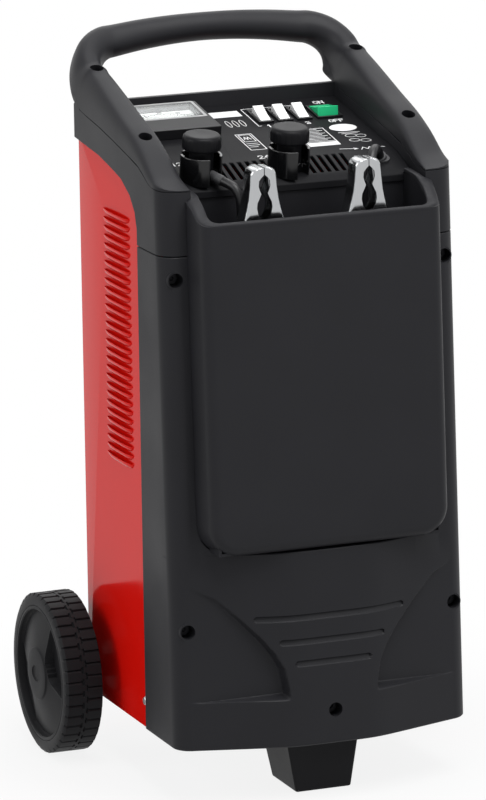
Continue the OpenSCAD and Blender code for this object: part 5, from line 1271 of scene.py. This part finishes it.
for name, x in zip(("positive", "negative"), CLAMP_XS):
    clamp(name, x)


# ---------------------------------------------------------------- knobs
CAP_Z, CAP_H, CAP_R, NECK_R, NECK_FROM, STUD_HOLE_R = 26.0, 13.0, 16.8, 10.5, 8.0, 4.06


def knob_shape():
    """Cap with 20 shallow scallops, r = R (1 - 0.014 k cos^1.5(20 a)) where the cosine is above 0, over a
    plain neck."""
    n = 240
    a = full_turn(n)
    trough = np.clip(np.cos(20 * a), 0, 1) ** 1.5
    top = CAP_Z + CAP_H
    # Radius, height and the share k of the scallops
    rows = [
        (STUD_HOLE_R, NECK_FROM + 0.05, 0), (NECK_R, NECK_FROM + 0.05, 0), (NECK_R, CAP_Z - 0.2, 0),
        (CAP_R - 1.0, CAP_Z, 0.6), (CAP_R - 0.2, CAP_Z + 0.8, 1), (CAP_R, CAP_Z + 2, 1),
        (CAP_R - 0.1, top - 4.5, 1),
        (CAP_R - 0.35, top - 3.2, 0.7), (CAP_R - 0.9, top - 1.8, 0.25), (CAP_R - 2.0, top - 0.7, 0),
        (CAP_R - 3.6, top - 0.1, 0), (CAP_R - 4.6, top, 0), (6, top - 0.4, 0), (0.3, top - 0.5, 0),
    ]
    rings = []
    for r, z, k in rows:
        rr = r * (1 - 0.014 * k * trough)
        rings.append(np.column_stack([rr * np.cos(a), rr * np.sin(a), np.full(n, z)]))
    return loft(rings)


for node, x in zip(("terminal_knob_12", "terminal_knob_24"), TERMINAL_XS):
    made = new_object(node + "_cap", on_terminal(knob_shape(), x))
    cut(made, on_terminal(turned([(STUD_HOLE_R, 0), (STUD_HOLE_R, CAP_Z + CAP_H - 3.6)], 32), x))
    smooth(made, 40)
    finish_piece(made, node, P["knob_black"], [node])


# ---------------------------------------------------------------- printing on the panel and the dial
GLYPHS = {
    "1": [[(1, 4.8), (2.2, 6), (2.2, 0)]],
    "2": [[(0.2, 4.6), (0.8, 5.7), (2, 6), (3.4, 5.6), (3.8, 4.4), (3.2, 3.2), (0.2, 0), (3.9, 0)]],
    "3": [
        [
            (0.3, 5.5), (1.6, 6), (3.2, 5.7), (3.6, 4.5), (3, 3.4), (1.7, 3.1), (3.2, 2.8), (3.9, 1.7),
            (3.4, 0.5), (2, 0), (0.3, 0.6)
        ]
    ],
    "4": [[(3, 0), (3, 6), (0, 2), (4, 2)]],
    "0": [[(2, 0), (0.6, 0.8), (0.2, 3), (0.6, 5.2), (2, 6), (3.4, 5.2), (3.8, 3), (3.4, 0.8), (2, 0)]],
    "N": [[(0, 0), (0, 6), (3.8, 0), (3.8, 6)]],
    "F": [[(0, 0), (0, 6), (3.6, 6)], [(0, 3.2), (2.9, 3.2)]],
}
GLYPHS["O"] = GLYPHS["0"]


PRINT_LOW, PRINT_HIGH, THIN, BOLD = -0.02, 0.08, 0.75, 1.15


def strokes(lines, wide, low, high):
    """Flat bars along polylines, each segment drawn out by half its width at both ends, between two
    heights."""
    shapes = []
    box = [(0, 1, 2, 3), (7, 6, 5, 4), (0, 4, 5, 1), (1, 5, 6, 2), (2, 6, 7, 3), (3, 7, 4, 0)]
    for line in lines:
        for p, q in zip(np.array(line[:-1], float), np.array(line[1:], float)):
            d = (q - p) / np.linalg.norm(q - p) * wide / 2
            n = np.array([-d[1], d[0]])
            flat = [p - d - n, q + d - n, q + d + n, p - d + n]
            shapes.append(solid(np.array([(x, y, h) for h in (low, high) for x, y in flat]), box))
    return joined(*shapes)


def letters(text, x, y, size):
    """Glyph lines of a text whose lower left corner is at (x, y), its capitals size high."""
    k = size / 6
    return [
        [(x + (gx + 5.2 * i) * k, y + gy * k) for gx, gy in line] for i, c in enumerate(text)
        for line in GLYPHS[c]
    ]


def oval(x, y, w, d):
    """Ellipse w by d about (x, y), in 24 steps that run back to the first point."""
    return [(x + w / 2 * math.cos(v), y + d / 2 * math.sin(v)) for v in np.linspace(0, 2 * math.pi, 25)]


def frame_line(x0, y0, x1, y1):
    """Rectangle as a line that runs back to its first point."""
    return [(x0, y0), (x1, y0), (x1, y1), (x0, y1), (x0, y0)]


def to_panel(shape):
    """A shape drawn in panel coordinates (x, y, height) laid on the tilted panel."""
    x, y, h = shape[0].T
    points = np.stack([x, y - math.sin(PANEL_TILT) * h, panel_z(y) + math.cos(PANEL_TILT) * h], axis=1)
    return points, shape[1]


def patch(outline):
    """A filled print within an outline."""
    return loft([at_height(outline, h) for h in (PRINT_LOW, PRINT_HIGH)])


def panel_prints():
    """Frames, hatching, ovals, an arrow, a coil, plain numbers and ON and OFF, in one thin layer on the
    panel."""
    lines = [
        frame_line(-16, -18, -1.5, 20), frame_line(-14, 2, -3.5, 18), [(-14, -3), (-4, -3)],
        [(-14, -7), (-4, -7)], [(-14, -11), (-7, -11)]
    ]
    lines += [[(-12, 7), (-10.5, 13), (-9, 7), (-7.5, 13), (-6, 7)]]
    lines += [frame_line(30, -22, 65, 19), [(30, -12), (65, -12)]]
    lines += [[(32, y), (58 + 4 * (k % 2), y)] for k, y in enumerate(np.arange(-9, 17, 3.2))]
    lines += [oval(82, -4, 10, 7), oval(90.6, -6, 9, 6.5), oval(81, -15, 9, 6.5), oval(90.5, -17.5, 9, 6.5)]
    lines += [
        [(59.8, -32.9), (75.5, -35.3)], [(72.5, -33.2), (75.5, -35.3), (72.0, -36.6)],
        [(78, -38), (81, -33), (84, -38), (87, -33), (90, -38), (93, -34), (100, -36)]
    ]
    lines += [[(12.5, 36), (12.5, 78)], [(12.5, 78), (68, 78)], [(12.5, 35.5), (15, 35.5)]]
    lines += [[(x - 3, 75.2), (x + 3, 75.2)] for x in ROCKER_XS]
    lines += [[(74, 4.5), (93, 3.5)], [(76, 1.5), (90, 1.0)]]
    lines += [oval(x, 46, 3.6, 15) for x in (-11.5, -5, 1.5)]
    thin = strokes(lines, THIN, PRINT_LOW, PRINT_HIGH)
    text = []
    for word, x, y, size in (
        ("1", 20.0, 31.5, 5.2), ("2", 38.2, 31.5, 5.2), ("3", 56.2, 31.5, 5.2), ("24", -16.5, -39.0, 6.5),
        ("12", -96.5, -39.0, 6.5), ("ON", 81.5, 77.0, 6.0), ("OFF", 77.5, 31.0, 5.5),
    ):
        text += letters(word, x, y, size)
    bold = strokes(text, BOLD, PRINT_LOW, PRINT_HIGH)
    fills = [
        patch(outline[:-1])
        for outline in (frame_line(-20, 62.5, 8, 76), frame_line(30, -22, 65, -14), oval(83, 16, 25, 17))
    ]
    piece(
        "panel_printing", to_panel(joined(thin, bold, *fills)), "control_panel", P["print_white"], angle=20,
    )


NEEDLE_Y, WINDOW_W, WINDOW_LEN, SCALE_HALF_SWING = -18.5, 60.0, 34.0, math.radians(42)
TICK_IN_R, LONG_TICK_IN_R, TICK_OUT_R, NUMBER_R, DIAL_FACE_Z = 40.2, 38.5, 42.5, 45.5, 1.5


def ammeter():
    """Scale ticks on arcs about the needle's pivot, plain numbers, and the pale sleeve round the window's
    opening."""
    def dial(r, v):
        return r * math.cos(v), NEEDLE_Y + r * math.sin(v)

    lines, a0 = [], SCALE_HALF_SWING
    for k in range(21):
        v = math.pi / 2 + a0 * (1 - k / 10)
        lines.append([dial(TICK_IN_R if k % 5 else LONG_TICK_IN_R, v), dial(TICK_OUT_R, v)])
    lines.append([dial(TICK_OUT_R, v) for v in np.linspace(math.pi / 2 + a0, math.pi / 2 - a0, 25)])
    for k, text in enumerate(("0", "10", "20", "30", "40")):
        v = math.pi / 2 + a0 * (1 - k / 2)
        x, y = NUMBER_R * math.cos(v) - 1.1 * len(text), NEEDLE_Y + (NUMBER_R - 0.5) * math.sin(v) - 1.0
        lines += letters(text, x, y, 2.8)
    ticks = moved(strokes(lines, 0.5, DIAL_FACE_Z, DIAL_FACE_Z + 0.12), (*METER_AT, 0))
    piece("ammeter_scale", to_panel(ticks), "meter_dial", P["meter_black"], angle=20)
    mid = METER_LEN / 2 - 3 - WINDOW_LEN / 2
    outer = round_box(WINDOW_W + 5, WINDOW_LEN + 4, 2.0)
    inner = round_box(WINDOW_W - 1.2, WINDOW_LEN - 1.2, 1.4)
    back = round_box(WINDOW_W - 0.3, WINDOW_LEN - 0.3, 1.5)
    levels = [
        (inner, 1.7), (inner, METER_RISE - 0.1), (inner * 1.01, METER_RISE + 0.45),
        (outer * 0.985, METER_RISE + 0.45),
        (outer, METER_RISE + 0.05), (back, METER_RISE - 0.15), (back, 1.7),
    ]
    rings = [at_height(flat, h) for flat, h in levels]
    sleeve = moved(looped(rings), (METER_AT[0], METER_AT[1] + mid, 0))
    piece("ammeter_sleeve", to_panel(sleeve), "meter_case", P["sleeve_pale"], angle=35)


panel_prints()
ammeter()


# ---------------------------------------------------------------- the rest as plain solids
done = {name for obj in bpy.data.objects for name in obj.get("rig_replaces", [])}
LOOKS = {"terminal_guards": "guard_black"}
BEVELS = {"foot": 2.4}
for node in frame["nodes"]:
    if node not in done:
        dressed(node, P[LOOKS.get(node, SLOT_OF[node])], bevel=BEVELS.get(node, 0.5))
